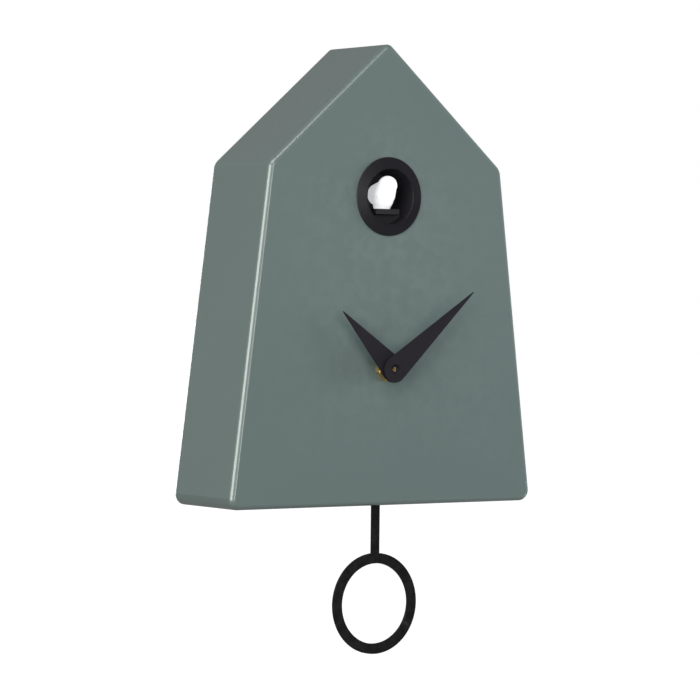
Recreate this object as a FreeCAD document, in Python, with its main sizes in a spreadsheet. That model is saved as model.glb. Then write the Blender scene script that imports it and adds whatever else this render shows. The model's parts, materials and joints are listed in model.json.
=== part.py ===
import FreeCAD, Part
import os
import re
import Sketcher

# A wall-hung cuckoo clock: lacquered house-shaped case, bird opening, two hands, ring pendulum.
# Every piece is drawn in case coordinates: X to the right, Y back from the front face and
# Z up from the bottom of the case. Each node's Placement then moves it so that the origin
# is the round entry of the wall hanger, on the wall plane.

doc = FreeCAD.newDocument("CuckooClock")
sheet = doc.addObject("Spreadsheet::Sheet", "Sizes")

sizes = {
    # case
    "case_high": 300, "case_wide": 240, "case_deep": 66, "shoulder_wide": 184, "shoulder_high": 220,
    "case_wall": 8, "side_wall": 9, "front_round": 4, "rear_round": 0.8,
    "foot_round": 7, "shoulder_round": 9, "gable_round": 5,
    # back cover, hanger and screws
    "cover_thick": 3, "cover_gap": 0.3, "rim_wide": 3, "cover_sink": 1.5,
    "hanger_high": 244, "hanger_wide": 30, "hanger_tall": 44, "entry_radius": 5, "slot_radius": 2.3,
    "slot_rise": 11, "head_room": 2.5, "screw_radius": 1.4, "screw_head": 2.8, "screw_head_thick": 1.2,
    "screw_long": 9, "screw_slot": 0.6, "corner_screw_inset": 26, "side_screw_high": 205,
    # hands and centre shaft
    "hub_high": 88.5, "hand_thick": 0.6, "hand_hub": 8.6, "minute_long": 80, "hour_long": 54.5,
    "minute_taper": 83, "hour_taper": 56.6, "minute_turn": 51.1, "hour_turn": 313,
    "minute_front": 10, "hour_front": 7.5, "minute_eye": 3.2, "collet_radius": 4.6, "collet_deep": 1.2,
    "arbor_radius": 1.5, "pipe_radius": 2.5, "running_gap": 0.05,
    "bushing_radius": 4, "bushing_front": 5.4, "bushing_flange": 6, "bushing_play": 0.15,
    "nut_flats": 14, "nut_thick": 3.2, "nut_turn": 15, "washer_radius": 12, "washer_thick": 1,
    # movement and its motion work
    "movement_wide": 56, "movement_deep": 18, "movement_wall": 1.5,
    "train_module": 0.5, "cannon_teeth": 12, "motion_teeth": 36,
    "motion_pinion_teeth": 10, "hour_teeth": 40, "wheel_thick": 1.2, "wheel_gap": 1, "stem_radius": 1.5,
    "knob_radius": 8, "knob_thick": 6, "knob_inset": 0.8, "knob_hole_gap": 1.2,
    "coil_radius": 4, "coil_long": 20, "core_thick": 2, "core_long": 40, "board_thick": 1.6,
    # pendulum and its drive
    "rod_wide": 5.9, "rod_thick": 2, "rod_setback": 2, "ring_radius": 32.9, "ring_band": 6.75,
    "ring_low": 64.4, "pivot_high": 45, "pin_radius": 1.5, "pin_head": 2.6, "eye_radius": 4,
    "slot_half": 9.5, "slot_spare": 1.5, "side_play": 0.4,
    "magnet_radius": 5, "magnet_thick": 1.5, "magnet_high": 24, "magnet_gap": 1.5,
    "drive_wide": 44, "drive_deep": 16, "drive_tall": 42, "drive_wall": 1.5,
    "drive_coil_radius": 9, "drive_core_radius": 3, "drive_coil_deep": 8,
    # bird opening
    "opening_high": 200, "flange_radius": 25.5, "opening_radius": 18.1, "tube_wall": 1.6,
    "tube_long": 22, "lip_out": 2.4, "lip_flat": 0.8, "flange_edge": 0.8, "tube_fit": 0.2,
    "ledge_setback": 6, "ledge_thick": 2, "retainer_wide": 5, "retainer_thick": 3,
    # bird and its carriage
    "shelf_wide": 18.7, "shelf_thick": 3.4, "shelf_front": 1, "shelf_drop": 8, "shelf_gap": 0.35,
    "bar_wide": 6, "guide_gap": 0.3,
    "head_radius": 6.2, "head_back": 1.6, "head_high": 15.3,
    "body_radius": 7.4, "body_back": 5.6, "body_high": 9.3, "base_radius": 5, "base_back": 7.4,
    "tail_wide": 5.6, "tail_long": 7.6, "tail_thick": 7, "tail_back": 12.8, "tail_high": 9.6,
    # carriage drive
    "rack_module": 0.8, "rack_teeth": 8, "pinion_teeth": 12, "pinion_back": 35.5, "pinion_thick": 5,
    "drive_module": 0.6, "wheel_teeth": 30, "motor_teeth": 10, "gear_thick": 3, "gear_gap": 1,
    "axle_radius": 1, "motor_radius": 7.5, "motor_long": 20, "motor_low": 160,
    "plate_gap": 0.6, "guide_wall": 2, "roof_gap": 1.2, "rear_gap": 1.5,
    "collar_long": 8, "collar_wall": 2.5, "shaft_in": 6,
    # gear teeth, in modules
    "tooth_top": 0.9, "tooth_root": 1.15, "tip_half": 0.3, "root_half": 0.85,
    # battery bay
    "cell_radius": 7.1, "cell_long": 48.5, "nub_radius": 2.7, "nub_long": 1.2, "cell_gap": 0.6,
    "contact_room": 3, "leaf_thick": 0.5, "leaf_wide": 8, "spring_radius": 3, "spring_tip": 2,
    "tray_wall": 1.5, "tray_left": -100, "tray_low": 14, "door_thick": 2, "door_gap": 0.4,
    "hinge_radius": 1.4, "hinge_pin": 0.7, "hinge_pin_long": 2.5,
    # speaker, sound board and switch
    "speaker_radius": 25, "speaker_x": 62, "speaker_high": 48, "speaker_deep": 12,
    "magnet_back_radius": 13, "magnet_back_thick": 5, "grille_hole": 1.6, "grille_pitch": 7,
    "sound_x": 40, "sound_low": 112, "sound_wide": 44, "sound_tall": 36, "standoff": 4,
    "switch_x": 62, "switch_high": 92, "switch_wide": 14, "switch_tall": 7, "switch_deep": 5,
    "switch_travel": 4, "slider_wide": 4, "slider_tall": 3,
}

# the two meshes of the motion work share one centre distance
first_mesh = sizes["cannon_teeth"] + sizes["motion_teeth"]
second_mesh = sizes["motion_pinion_teeth"] + sizes["hour_teeth"]
sizes["pinion_module"] = sizes["train_module"] * first_mesh / second_mesh

for row, (alias, value) in enumerate(sizes.items(), 1):
    sheet.set("A%d" % row, alias)
    sheet.set("B%d" % row, str(value))
    sheet.setAlias("B%d" % row, alias)
doc.recompute()

X, Y, Z = FreeCAD.Vector(1, 0, 0), FreeCAD.Vector(0, 1, 0), FreeCAD.Vector(0, 0, 1)
turned = {
    "x": FreeCAD.Rotation(Y, 90),
    "y": FreeCAD.Rotation(X, -90),
    "z": FreeCAD.Rotation(Z, 0),
}
words = re.compile(r"[a-z][a-z_]*")
nodes = []


def formula(text):
    """Writes the sheet's name before each of its aliases."""
    return words.sub(lambda word: "Sizes." + word[0] if word[0] in sizes else word[0], str(text))


def bind(item, **properties):
    for name, text in properties.items():
        item.setExpression(name.replace("__", "."), formula(text))
    return item


def place(item, x=0, y=0, z=0):
    if not hasattr(item, "Spot"):
        item.addProperty("App::PropertyStringList", "Spot")
    item.Spot = [str(x), str(y), str(z)]
    return bind(item, Placement__Base__x=x, Placement__Base__y=y, Placement__Base__z=z)


def node(item, label):
    """Names a finished piece and moves it from case coordinates to the clock's own frame."""
    item.Label = label
    x, y, z = getattr(item, "Spot", ["0", "0", "0"])
    bind(item, Placement__Base__x=x, Placement__Base__y="(%s) - case_deep" % y)
    bind(item, Placement__Base__z="(%s) - hanger_high" % z)
    nodes.append(item)
    return item


def fresh(kind, name):
    return doc.addObject(kind, name)


def block(name, low, size):
    """A box from its lowest corner and its three sizes."""
    item = bind(fresh("Part::Box", name), Length=size[0], Width=size[1], Height=size[2])
    return place(item, *low)


def rod(name, start, radius, long, along="y"):
    """A cylinder that runs from start along an axis."""
    item = bind(fresh("Part::Cylinder", name), Radius=radius, Height=long)
    item.Placement = FreeCAD.Placement(FreeCAD.Vector(), turned[along])
    return place(item, *start)


def cone(name, start, radius, end_radius, long, along="y"):
    item = bind(fresh("Part::Cone", name), Radius1=radius, Radius2=end_radius, Height=long)
    item.Placement = FreeCAD.Placement(FreeCAD.Vector(), turned[along])
    return place(item, *start)


def join(name, *items):
    item = fresh("Part::MultiFuse", name)
    item.Shapes = list(items)
    return item


def cut(name, base, *tools):
    item = fresh("Part::Cut", name)
    item.Base = base
    item.Tool = tools[0] if len(tools) == 1 else join(name + "Tools", *tools)
    return item


def group(name, items):
    item = fresh("Part::Compound", name)
    item.Links = list(items)
    return item


def ring(name, start, radius, bore, long, along="y"):
    disc = rod(name + "Disc", start, radius, long, along)
    return cut(name, disc, rod(name + "Bore", start, bore, long, along))


def new_body(name):
    return fresh("PartDesign::Body", name)


def sketch(body, name, role="XZ_Plane", back=0):
    """A sketch on one of the body's own planes; back moves an upright one away from the front."""
    drawn = body.newObject("Sketcher::SketchObject", name)
    support = next(item for item in body.Origin.OriginFeatures if item.Role == role)
    drawn.AttachmentSupport = (support, [""])
    drawn.MapMode = "FlatFace"
    if role == "XZ_Plane":
        bind(drawn, AttachmentOffset__Base__z="-(%s)" % back)
    return drawn


def fix(drawn, line, point, x=None, y=None):
    """Holds a sketch point at distances from the sketch's origin; "0" puts it on the axis."""
    here = drawn.getPoint(line, point)
    for kind, axis, text, start in (("DistanceX", -2, x, here.x), ("DistanceY", -1, y, here.y)):
        if text == "0":
            drawn.addConstraint(Sketcher.Constraint("PointOnObject", line, point, axis))
        elif text:
            index = drawn.addConstraint(Sketcher.Constraint(kind, -1, 1, line, point, start))
            drawn.setExpression("Constraints[%d]" % index, formula(text))


def measure(drawn, text, *constraint):
    """Adds one dimension and ties it to a formula."""
    index = drawn.addConstraint(Sketcher.Constraint(*constraint))
    drawn.setExpression("Constraints[%d]" % index, formula(text))


def loop(drawn, corners, construction=False):
    """Closed straight outline; returns the index of its first line."""
    first = drawn.GeometryCount
    count = len(corners)
    points = [FreeCAD.Vector(x, y, 0) for x, y in corners]
    for index in range(count):
        drawn.addGeometry(Part.LineSegment(points[index], points[(index + 1) % count]), construction)
    for index in range(count):
        ends = (first + index, 2, first + (index + 1) % count, 1)
        drawn.addConstraint(Sketcher.Constraint("Coincident", *ends))
    return first


def circle(drawn, radius, x="0", y="0", start=(0, 0, 1)):
    index = drawn.addGeometry(Part.Circle(FreeCAD.Vector(start[0], start[1], 0), Z, start[2]))
    fix(drawn, index, 3, x, y)
    measure(drawn, radius, "Radius", index, start[2])
    return index


def rectangle(drawn, half_wide, low, high, start):
    """A rectangle centred on the sketch's upright axis; start is half width, low and high."""
    wide, bottom, top = start
    first = loop(drawn, [(-wide, bottom), (wide, bottom), (wide, top), (-wide, top)])
    fix(drawn, first, 2, half_wide, low)
    fix(drawn, first + 1, 2, half_wide, high)
    for line in (first, first + 2):
        drawn.addConstraint(Sketcher.Constraint("Symmetric", line, 1, line, 2, -2))


def pad(body, name, drawn, long):
    item = body.newObject("PartDesign::Pad", name)
    item.Profile = drawn
    item.Reversed = True
    bind(item, Length=long)
    doc.recompute()
    return item


def pocket(body, name, drawn, deep, backwards=False):
    """Cuts into the solid, and checks that something was really cut."""
    before = body.Shape.Volume
    item = body.newObject("PartDesign::Pocket", name)
    item.Profile = drawn
    item.Reversed = backwards
    bind(item, Length=deep)
    doc.recompute()
    if body.Shape.Volume > before - 1e-6:
        raise ValueError(name + " cuts nothing")
    return item


def round_edges(body, name, radius, wanted):
    """Fillets the edges of the body's last feature that wanted picks."""
    base = body.Tip
    picked = ["Edge%d" % number for number, edge in enumerate(base.Shape.Edges, 1) if wanted(edge)]
    item = body.newObject("PartDesign::Fillet", name)
    item.Base = (base, picked)
    bind(item, Radius=radius)
    doc.recompute()
    return item


def house(drawn, inset=None):
    """The gabled outline, or one that lies the same distance inside it all round."""
    foot, shoulder = sizes["case_wide"] / 2, sizes["shoulder_wide"] / 2
    side, top = sizes["shoulder_high"], sizes["case_high"]
    corners = [(-foot, 0), (foot, 0), (shoulder, side), (0, top), (-shoulder, side)]
    outer = loop(drawn, corners, construction=inset is not None)
    fix(drawn, outer, 2, "case_wide / 2", "0")
    fix(drawn, outer + 1, 2, "shoulder_wide / 2", "shoulder_high")
    fix(drawn, outer + 2, 2, "0", "case_high")
    drawn.addConstraint(Sketcher.Constraint("Symmetric", outer, 1, outer, 2, -2))
    drawn.addConstraint(Sketcher.Constraint("Symmetric", outer + 3, 2, outer + 1, 2, -2))
    if inset is None:
        return
    middle = side / 2
    inner = loop(drawn, [(x * 0.93, middle + (z - middle) * 0.93) for x, z in corners])
    for corner in range(5):
        for wall in (corner, (corner - 1) % 5):
            measure(drawn, inset, "Distance", inner + corner, 1, outer + wall, sizes["side_wall"])


# formulas that several pieces share
lean = "((case_wide - shoulder_wide) / 2 / shoulder_high)"
pitch_rise = "(2 * (case_high - shoulder_high) / shoulder_wide)"
cover_back = "(case_deep - cover_sink)"
cover_front = "(case_deep - cover_sink - cover_thick)"
screw_line = "(rim_wide + (side_wall - rim_wide) / 2)"
side_screw_x = "(case_wide / 2 - side_screw_high * %s - %s * sqrt(1 + %s ^ 2))" % (lean, screw_line, lean)
cover_screw_spots = [
    ("corner_screw_inset - case_wide / 2", screw_line),
    ("case_wide / 2 - corner_screw_inset", screw_line),
    ("-" + side_screw_x, "side_screw_high"),
    (side_screw_x, "side_screw_high"),
    ("0", "case_high - %s * sqrt(1 + %s ^ 2)" % (screw_line, pitch_rise)),
]
tube_radius = "(opening_radius + tube_wall)"
movement_front_y = "(case_wall + washer_thick)"
movement_seam = "(%s + movement_deep / 2)" % movement_front_y
movement_inside = "(%s + movement_wall)" % movement_front_y
rod_front = "(case_wall + rod_setback)"
shelf_top = "(opening_high - shelf_drop)"
shelf_low = "(opening_high - shelf_drop - shelf_thick)"


def case_shell():
    body = new_body("CaseShell")
    outline = sketch(body, "CaseOutline")
    house(outline)
    pad(body, "CaseBlock", outline, "case_deep")
    foot, shoulder = sizes["case_wide"] / 2, sizes["shoulder_wide"] / 2
    for name, radius, x, z in (("FootRounds", "foot_round", foot, 0),
                               ("ShoulderRounds", "shoulder_round", shoulder, sizes["shoulder_high"]),
                               ("GableRound", "gable_round", 0, sizes["case_high"])):
        round_edges(body, name, radius, lambda edge: is_at(edge, x, z) and edge.BoundBox.YLength > 1)
    round_edges(body, "FrontRound", "front_round", lambda edge: edge.BoundBox.YMax < 0.001)
    rear = sizes["case_deep"] - 0.001
    round_edges(body, "RearRound", "rear_round", lambda edge: edge.BoundBox.YMin > rear)
    hollow = sketch(body, "HollowOutline", back="case_wall")
    house(hollow, "side_wall")
    pocket(body, "Hollow", hollow, "case_deep")
    rebate = sketch(body, "RebateOutline", back=cover_front)
    house(rebate, "rim_wide")
    pocket(body, "Rebate", rebate, "case_deep")
    holes = sketch(body, "FrontHoles")
    circle(holes, "bushing_radius + bushing_play", y="hub_high", start=(0, sizes["hub_high"], 4))
    circle(holes, tube_radius + " + tube_fit", y="opening_high", start=(0, sizes["opening_high"], 20))
    pocket(body, "FrontHoleCuts", holes, "case_wall")
    slot = sketch(body, "PendulumSlot", "XY_Plane")
    middle = sizes["case_wall"] + sizes["rod_setback"] + sizes["rod_thick"] / 2
    rectangle(slot, "slot_half", rod_front + " - slot_spare", rod_front + " + rod_thick + slot_spare",
              (sizes["slot_half"], middle - 2, middle + 2))
    pocket(body, "PendulumSlotCut", slot, "side_wall", backwards=True)
    pilots = [rod("Pilot%d" % number, (x, cover_back + " - screw_long", z), "screw_radius", "screw_long")
              for number, (x, z) in enumerate(cover_screw_spots)]
    node(cut("DrilledCase", body, *pilots), "case_shell")


def is_at(edge, x, z):
    middle = edge.BoundBox.Center
    return abs(abs(middle.x) - x) < 0.01 and abs(middle.z - z) < 0.01


def screw(name, x, y, z, long="screw_long", sunk=False):
    """A cross-slot screw driven forwards; y is the surface that it holds down."""
    shaft = rod(name + "Shaft", (x, "%s - (%s)" % (y, long), z), "screw_radius", long)
    if sunk:
        head_at = "%s - screw_head_thick" % y
        head = cone(name + "Head", (x, head_at, z), "screw_radius", "screw_head", "screw_head_thick")
    else:
        head_at = y
        head = rod(name + "Head", (x, y, z), "screw_head", "screw_head_thick")
    reach = "screw_head * 1.3"
    slots = []
    for number, (wide, tall) in enumerate(((reach, "screw_slot"), ("screw_slot", reach))):
        low = ("(%s) - (%s) / 2" % (x, wide), "%s + screw_head_thick / 2" % head_at,
               "(%s) - (%s) / 2" % (z, tall))
        slots.append(block("%sSlot%d" % (name, number), low, (wide, "screw_head_thick", tall)))
    return cut(name, join(name + "Blank", shaft, head), *slots)


def back_cover():
    body = new_body("BackCover")
    outline = sketch(body, "CoverOutline", back=cover_front)
    house(outline, "rim_wide + cover_gap")
    pad(body, "CoverSheet", outline, "cover_thick")
    holes = [rod("CoverHole%d" % number, (x, cover_front, z), "screw_radius + cover_gap", "cover_thick")
             for number, (x, z) in enumerate(cover_screw_spots)]
    head_half = "(entry_radius + head_room)"
    holes.append(block("HangerOpening", ("-" + head_half, cover_front, "hanger_high - " + head_half),
                       ("2 * " + head_half, "cover_thick", "slot_rise + 2 * " + head_half)))
    holes.append(rod("KnobHole", ("0", cover_front, motion_high), "knob_radius + knob_hole_gap",
                     "cover_thick"))
    holes.append(block("DoorOpening", (door_left, cover_front, door_low),
                       (door_wide, "cover_thick", door_tall)))
    holes.append(block("SwitchSlot", ("switch_x - slider_wide / 2 - cover_gap", cover_front,
                                      "switch_high - slider_tall / 2 - cover_gap"),
                       ("slider_wide + switch_travel + 2 * cover_gap", "cover_thick",
                        "slider_tall + 2 * cover_gap")))
    for number, (across, up) in enumerate(grille_spots()):
        holes.append(rod("Grille%d" % number, ("speaker_x + grille_pitch * %g" % across, cover_front,
                                               "speaker_high + grille_pitch * %g" % up),
                         "grille_hole", "cover_thick"))
    for side, along in (("Left", door_left + " - hinge_pin_long"),
                        ("Right", door_left + " + " + door_wide)):
        holes.append(rod("HingeSocket" + side, (along, hinge_y, hinge_z),
                         "hinge_pin + running_gap", "hinge_pin_long", "x"))
    for number, z in enumerate(hanger_screw_heights):
        holes.append(rod("HangerPilot%d" % number, ("0", cover_front, z), "screw_radius", "cover_thick"))
    node(cut("DrilledCover", body, *holes), "back_cover")


def grille_spots():
    """Places of the speaker holes, in steps of grille_pitch, on three rows of a hexagon's grid."""
    rows = {-1.732: (-1, 0, 1), -0.866: (-1.5, -0.5, 0.5, 1.5), 0: (-2, -1, 0, 1, 2),
            0.866: (-1.5, -0.5, 0.5, 1.5), 1.732: (-1, 0, 1)}
    return [(across, up) for up, row in rows.items() for across in row]


def cover_screws():
    screws = [screw("CoverScrew%d" % number, x, cover_back, z)
              for number, (x, z) in enumerate(cover_screw_spots)]
    node(group("CoverScrews", screws), "back_cover_screws")


hanger_low = "(hanger_high + slot_rise / 2 - hanger_tall / 2)"
hanger_screw_heights = [hanger_low + " + 4.5", hanger_low + " + hanger_tall - 4.5"]


def wall_hanger():
    blank = block("HangerPlate", ("-hanger_wide / 2", cover_back, hanger_low),
                  ("hanger_wide", "cover_sink", "hanger_tall"))
    rounded = fresh("Part::Fillet", "HangerCorners")
    rounded.Base = blank
    doc.recompute()
    upright = [number for number, edge in enumerate(blank.Shape.Edges, 1) if edge.BoundBox.YLength > 1]
    rounded.Edges = [(number, 3.0, 3.0) for number in upright]
    holes = [rod("KeyEntry", ("0", cover_back, "hanger_high"), "entry_radius", "cover_sink"),
             rod("KeyTop", ("0", cover_back, "hanger_high + slot_rise"), "slot_radius", "cover_sink"),
             block("KeySlot", ("-slot_radius", cover_back, "hanger_high"),
                   ("2 * slot_radius", "cover_sink", "slot_rise"))]
    for number, z in enumerate(hanger_screw_heights):
        holes.append(rod("HangerHole%d" % number, ("0", cover_back, z), "screw_radius", "cover_sink"))
        holes.append(cone("HangerSink%d" % number, ("0", "case_deep - screw_head_thick", z),
                          "screw_radius", "screw_head", "screw_head_thick"))
    node(cut("Hanger", rounded, *holes), "wall_hanger")
    screws = [screw("HangerScrew%d" % number, "0", "case_deep", z, "cover_sink + cover_thick + 1.5", True)
              for number, z in enumerate(hanger_screw_heights)]
    node(group("HangerScrews", screws), "hanger_screws")


def hand(which, name, eye):
    """A flat pointer: hub circle, and a taper that runs on its tangents to a blunt point."""
    front, long, taper, turn = [which + end for end in ("_front", "_long", "_taper", "_turn")]
    body = new_body(name)
    outline = sketch(body, name + "Outline")
    hub, reach = sizes["hand_hub"], sizes[taper]
    touch_y = hub * hub / reach
    touch_x = (hub * hub - touch_y * touch_y) ** 0.5
    tip_y = sizes[long]
    tip_x = touch_x * (reach - tip_y) / (reach - touch_y)
    arc = outline.addGeometry(Part.Arc(FreeCAD.Vector(-touch_x, touch_y, 0), FreeCAD.Vector(0, -hub, 0),
                                       FreeCAD.Vector(touch_x, touch_y, 0)))
    ends = [FreeCAD.Vector(touch_x, touch_y, 0), FreeCAD.Vector(tip_x, tip_y, 0),
            FreeCAD.Vector(-tip_x, tip_y, 0), FreeCAD.Vector(-touch_x, touch_y, 0)]
    right, tip, left = [outline.addGeometry(Part.LineSegment(*ends[number:number + 2]))
                        for number in range(3)]
    fix(outline, arc, 3, "0", "0")
    measure(outline, "hand_hub", "Radius", arc, hub)
    for constraint in (("Tangent", arc, 2, right, 1), ("Tangent", left, 2, arc, 1),
                       ("Coincident", right, 2, tip, 1), ("Coincident", tip, 2, left, 1),
                       ("Symmetric", tip, 1, tip, 2, -2)):
        outline.addConstraint(Sketcher.Constraint(*constraint))
    fix(outline, tip, 1, None, long)
    measure(outline, "2 * hand_hub * (%s - %s) / sqrt(%s ^ 2 - hand_hub ^ 2)" % (taper, long, taper),
            "DistanceX", tip, 2, tip, 1, 2 * tip_x)
    circle(outline, eye, start=(0, 0, sizes["minute_eye"]))
    pad(body, name + "Sheet", outline, "hand_thick")
    body.Placement = FreeCAD.Placement(FreeCAD.Vector(), FreeCAD.Rotation(Y, 1))
    bind(body, Placement__Rotation__Angle=turn)
    place(body, "0", "-" + front, "hub_high")
    node(body, which + "_hand")
    collet_bore = "pipe_radius" if which == "hour" else "arbor_radius"
    node(ring(name + "Collet", ("0", "hand_thick - " + front, "hub_high"), "collet_radius", collet_bore,
              "collet_deep"), which + "_hand_collet")


def centre_fittings():
    nut = bind(fresh("Part::Prism", "NutBlank"), Circumradius="nut_flats / sqrt(3)", Height="nut_thick")
    nut.Polygon = 6
    spin = FreeCAD.Rotation(Y, -sizes["nut_turn"])
    nut.Placement = FreeCAD.Placement(FreeCAD.Vector(), spin * turned["y"])
    place(nut, "0", "-nut_thick", "hub_high")
    dish = cone("NutDish", ("0", "-nut_thick", "hub_high"), "nut_flats / 2 * 1.02",
                "nut_flats / 2 * 1.02 + nut_thick * 1.7", "nut_thick")
    chamfered = fresh("Part::MultiCommon", "NutChamfered")
    chamfered.Shapes = [nut, dish]
    thread = rod("NutThread", ("0", "-nut_thick", "hub_high"), "bushing_radius", "nut_thick")
    node(cut("Nut", chamfered, thread), "hex_nut")
    start = ("0", "-bushing_front", "hub_high")
    barrel = rod("BushingBarrel", start, "bushing_radius", "bushing_front + " + movement_inside)
    flange = rod("BushingFlange", ("0", movement_inside, "hub_high"), "bushing_flange", "wheel_gap")
    through = rod("BushingBore", start, "pipe_radius + running_gap",
                  "bushing_front + %s + wheel_gap" % movement_inside)
    node(cut("Bushing", join("BushingBlank", barrel, flange), through), "threaded_bushing")
    node(ring("Washer", ("0", "case_wall", "hub_high"), "washer_radius", "bushing_radius", "washer_thick"),
         "rubber_washer")


def toothed(name, start, teeth, module, thick, along="y", half_step=False, bore=None):
    """A spur gear whose first tooth, or gap with half_step, stands at the top of the wheel."""
    body = new_body(name)
    pitch = "(%s * %s / 2)" % (module, teeth)
    scale, count = sizes[module], sizes[teeth]
    radius = scale * count / 2
    disc = sketch(body, name + "Disc")
    circle(disc, "%s - tooth_root * %s" % (pitch, module), start=(0, 0, radius - scale))
    if bore:
        circle(disc, bore, start=(0, 0, radius / 4))
    pad(body, name + "Blank", disc, thick)
    profile = sketch(body, name + "Tooth")
    low, high = radius - 1.5 * scale, radius + 0.9 * scale
    root, tip = 0.85 * scale, 0.3 * scale
    first = loop(profile, [(-root, low), (root, low), (tip, high), (-tip, high)])
    fix(profile, first, 2, "root_half * " + module, "%s - (tooth_root + 0.2) * %s" % (pitch, module))
    fix(profile, first + 1, 2, "tip_half * " + module, "%s + tooth_top * %s" % (pitch, module))
    for line in (first, first + 2):
        profile.addConstraint(Sketcher.Constraint("Symmetric", line, 1, line, 2, -2))
    tooth = pad(body, name + "ToothPad", profile, thick)
    repeat = body.newObject("PartDesign::PolarPattern", name + "Teeth")
    repeat.Originals = [tooth]
    repeat.Axis = (profile, ["N_Axis"])
    bind(repeat, Occurrences=teeth)
    body.Tip = repeat
    doc.recompute()
    facing = FreeCAD.Rotation(Z, -90) if along == "x" else FreeCAD.Rotation()
    spin = FreeCAD.Rotation(Y, 180 / sizes[teeth] if half_step else 0)
    body.Placement = FreeCAD.Placement(FreeCAD.Vector(), facing * spin)
    return place(body, *start)


train_reach = "((cannon_teeth + motion_teeth) * train_module / 2)"
motion_high = "(hub_high - %s)" % train_reach
hour_wheel_y = "(%s + 2 * wheel_gap)" % movement_inside
motion_wheel_y = "(%s + wheel_thick + 2 * wheel_gap)" % hour_wheel_y


def movement():
    half, wide, room = "movement_wide / 2", "movement_wide", "movement_wide - 2 * movement_wall"
    for label, y, inner_y in (("movement_front", movement_front_y, movement_inside),
                              ("movement_back", movement_seam, movement_seam + " - movement_wall")):
        name = label.title().replace("_", "")
        outer = block(name + "Outer", ("-" + half, y, "hub_high - " + half),
                      (wide, "movement_deep / 2", wide))
        inner_low = ("movement_wall - " + half, inner_y, "hub_high + movement_wall - " + half)
        inner = block(name + "Inner", inner_low, (room, "movement_deep / 2", room))
        if label == "movement_front":
            hole = rod(name + "Hole", ("0", y, "hub_high"), "bushing_radius", "movement_deep / 2")
        else:
            hole = rod(name + "Hole", ("0", y, motion_high), "stem_radius + running_gap",
                       "movement_deep / 2")
        node(cut(name, outer, inner, hole), label)


def motion_work():
    arbor_end = "(%s + movement_deep / 2 - movement_wall - wheel_gap)" % movement_seam
    cannon = toothed("CannonPinion", ("0", motion_wheel_y, "hub_high"), "cannon_teeth", "train_module",
                     "wheel_thick")
    arbor = rod("Arbor", ("0", "-minute_front", "hub_high"), "arbor_radius", "minute_front + " + arbor_end)
    node(join("MinuteArbor", cannon, arbor), "minute_arbor")
    wheel = toothed("HourWheelTeeth", ("0", hour_wheel_y, "hub_high"), "hour_teeth", "pinion_module",
                    "wheel_thick", half_step=True)
    pipe = rod("HourPipe", ("0", "-hour_front", "hub_high"), "pipe_radius", "hour_front + " + hour_wheel_y)
    bore = rod("HourPipeBore", ("0", "-hour_front", "hub_high"), "arbor_radius + running_gap",
               "hour_front + wheel_thick + " + hour_wheel_y)
    node(cut("HourWheel", join("HourWheelBlank", wheel, pipe), bore), "hour_wheel")
    big = toothed("MotionWheelTeeth", ("0", motion_wheel_y, motion_high), "motion_teeth", "train_module",
                  "wheel_thick", half_step=True)
    small_y = "(%s - wheel_gap / 2)" % hour_wheel_y
    small = toothed("MotionPinionTeeth", ("0", small_y, motion_high), "motion_pinion_teeth",
                    "pinion_module", "%s - %s" % (motion_wheel_y, small_y))
    hole = rod("MotionBore", ("0", small_y, motion_high), "stem_radius", "movement_deep")
    node(cut("MotionWheel", join("MotionWheelBlank", big, small), hole), "motion_wheel")
    knob_y = "(case_deep - knob_inset - knob_thick)"
    stem_y = "(%s - wheel_gap / 2)" % small_y
    stem = rod("KnobStem", ("0", stem_y, motion_high), "stem_radius", "%s - %s" % (knob_y, stem_y))
    grip = rod("KnobGrip", ("0", knob_y, motion_high), "knob_radius", "knob_thick")
    node(join("SettingKnob", stem, grip), "setting_knob")


def stepper():
    coil_y = "(%s + 2 * wheel_gap + coil_radius)" % movement_inside
    coil_high = "(hub_high + movement_wide / 2 - movement_wall - 2 * wheel_gap - coil_radius)"
    core_low = ("-core_long / 2", coil_y + " - core_thick / 2", coil_high + " - core_thick / 2")
    core = block("StatorCore", core_low, ("core_long", "core_thick", "core_thick"))
    legs = []
    for side, x in (("Left", "-core_long / 2"), ("Right", "core_long / 2 - core_thick")):
        legs.append(block("StatorLeg" + side, (x, coil_y + " - core_thick / 2", coil_high + " - 7"),
                          ("core_thick", "core_thick", "7")))
    stator = join("Stator", core, *legs)
    node(stator, "stepper_stator")
    winding = rod("CoilWinding", ("-coil_long / 2", coil_y, coil_high), "coil_radius", "coil_long", "x")
    tunnel = block("CoilTunnel", core_low, ("core_long", "core_thick", "core_thick"))
    node(cut("StepperCoil", winding, tunnel), "stepper_coil")
    board_y = "(%s + movement_deep / 2 - movement_wall - board_thick)" % movement_seam
    node(block("MovementBoard", ("-core_long / 2", board_y, coil_high + " - 9"),
               ("core_long", "board_thick", "14")), "movement_board")


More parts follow.
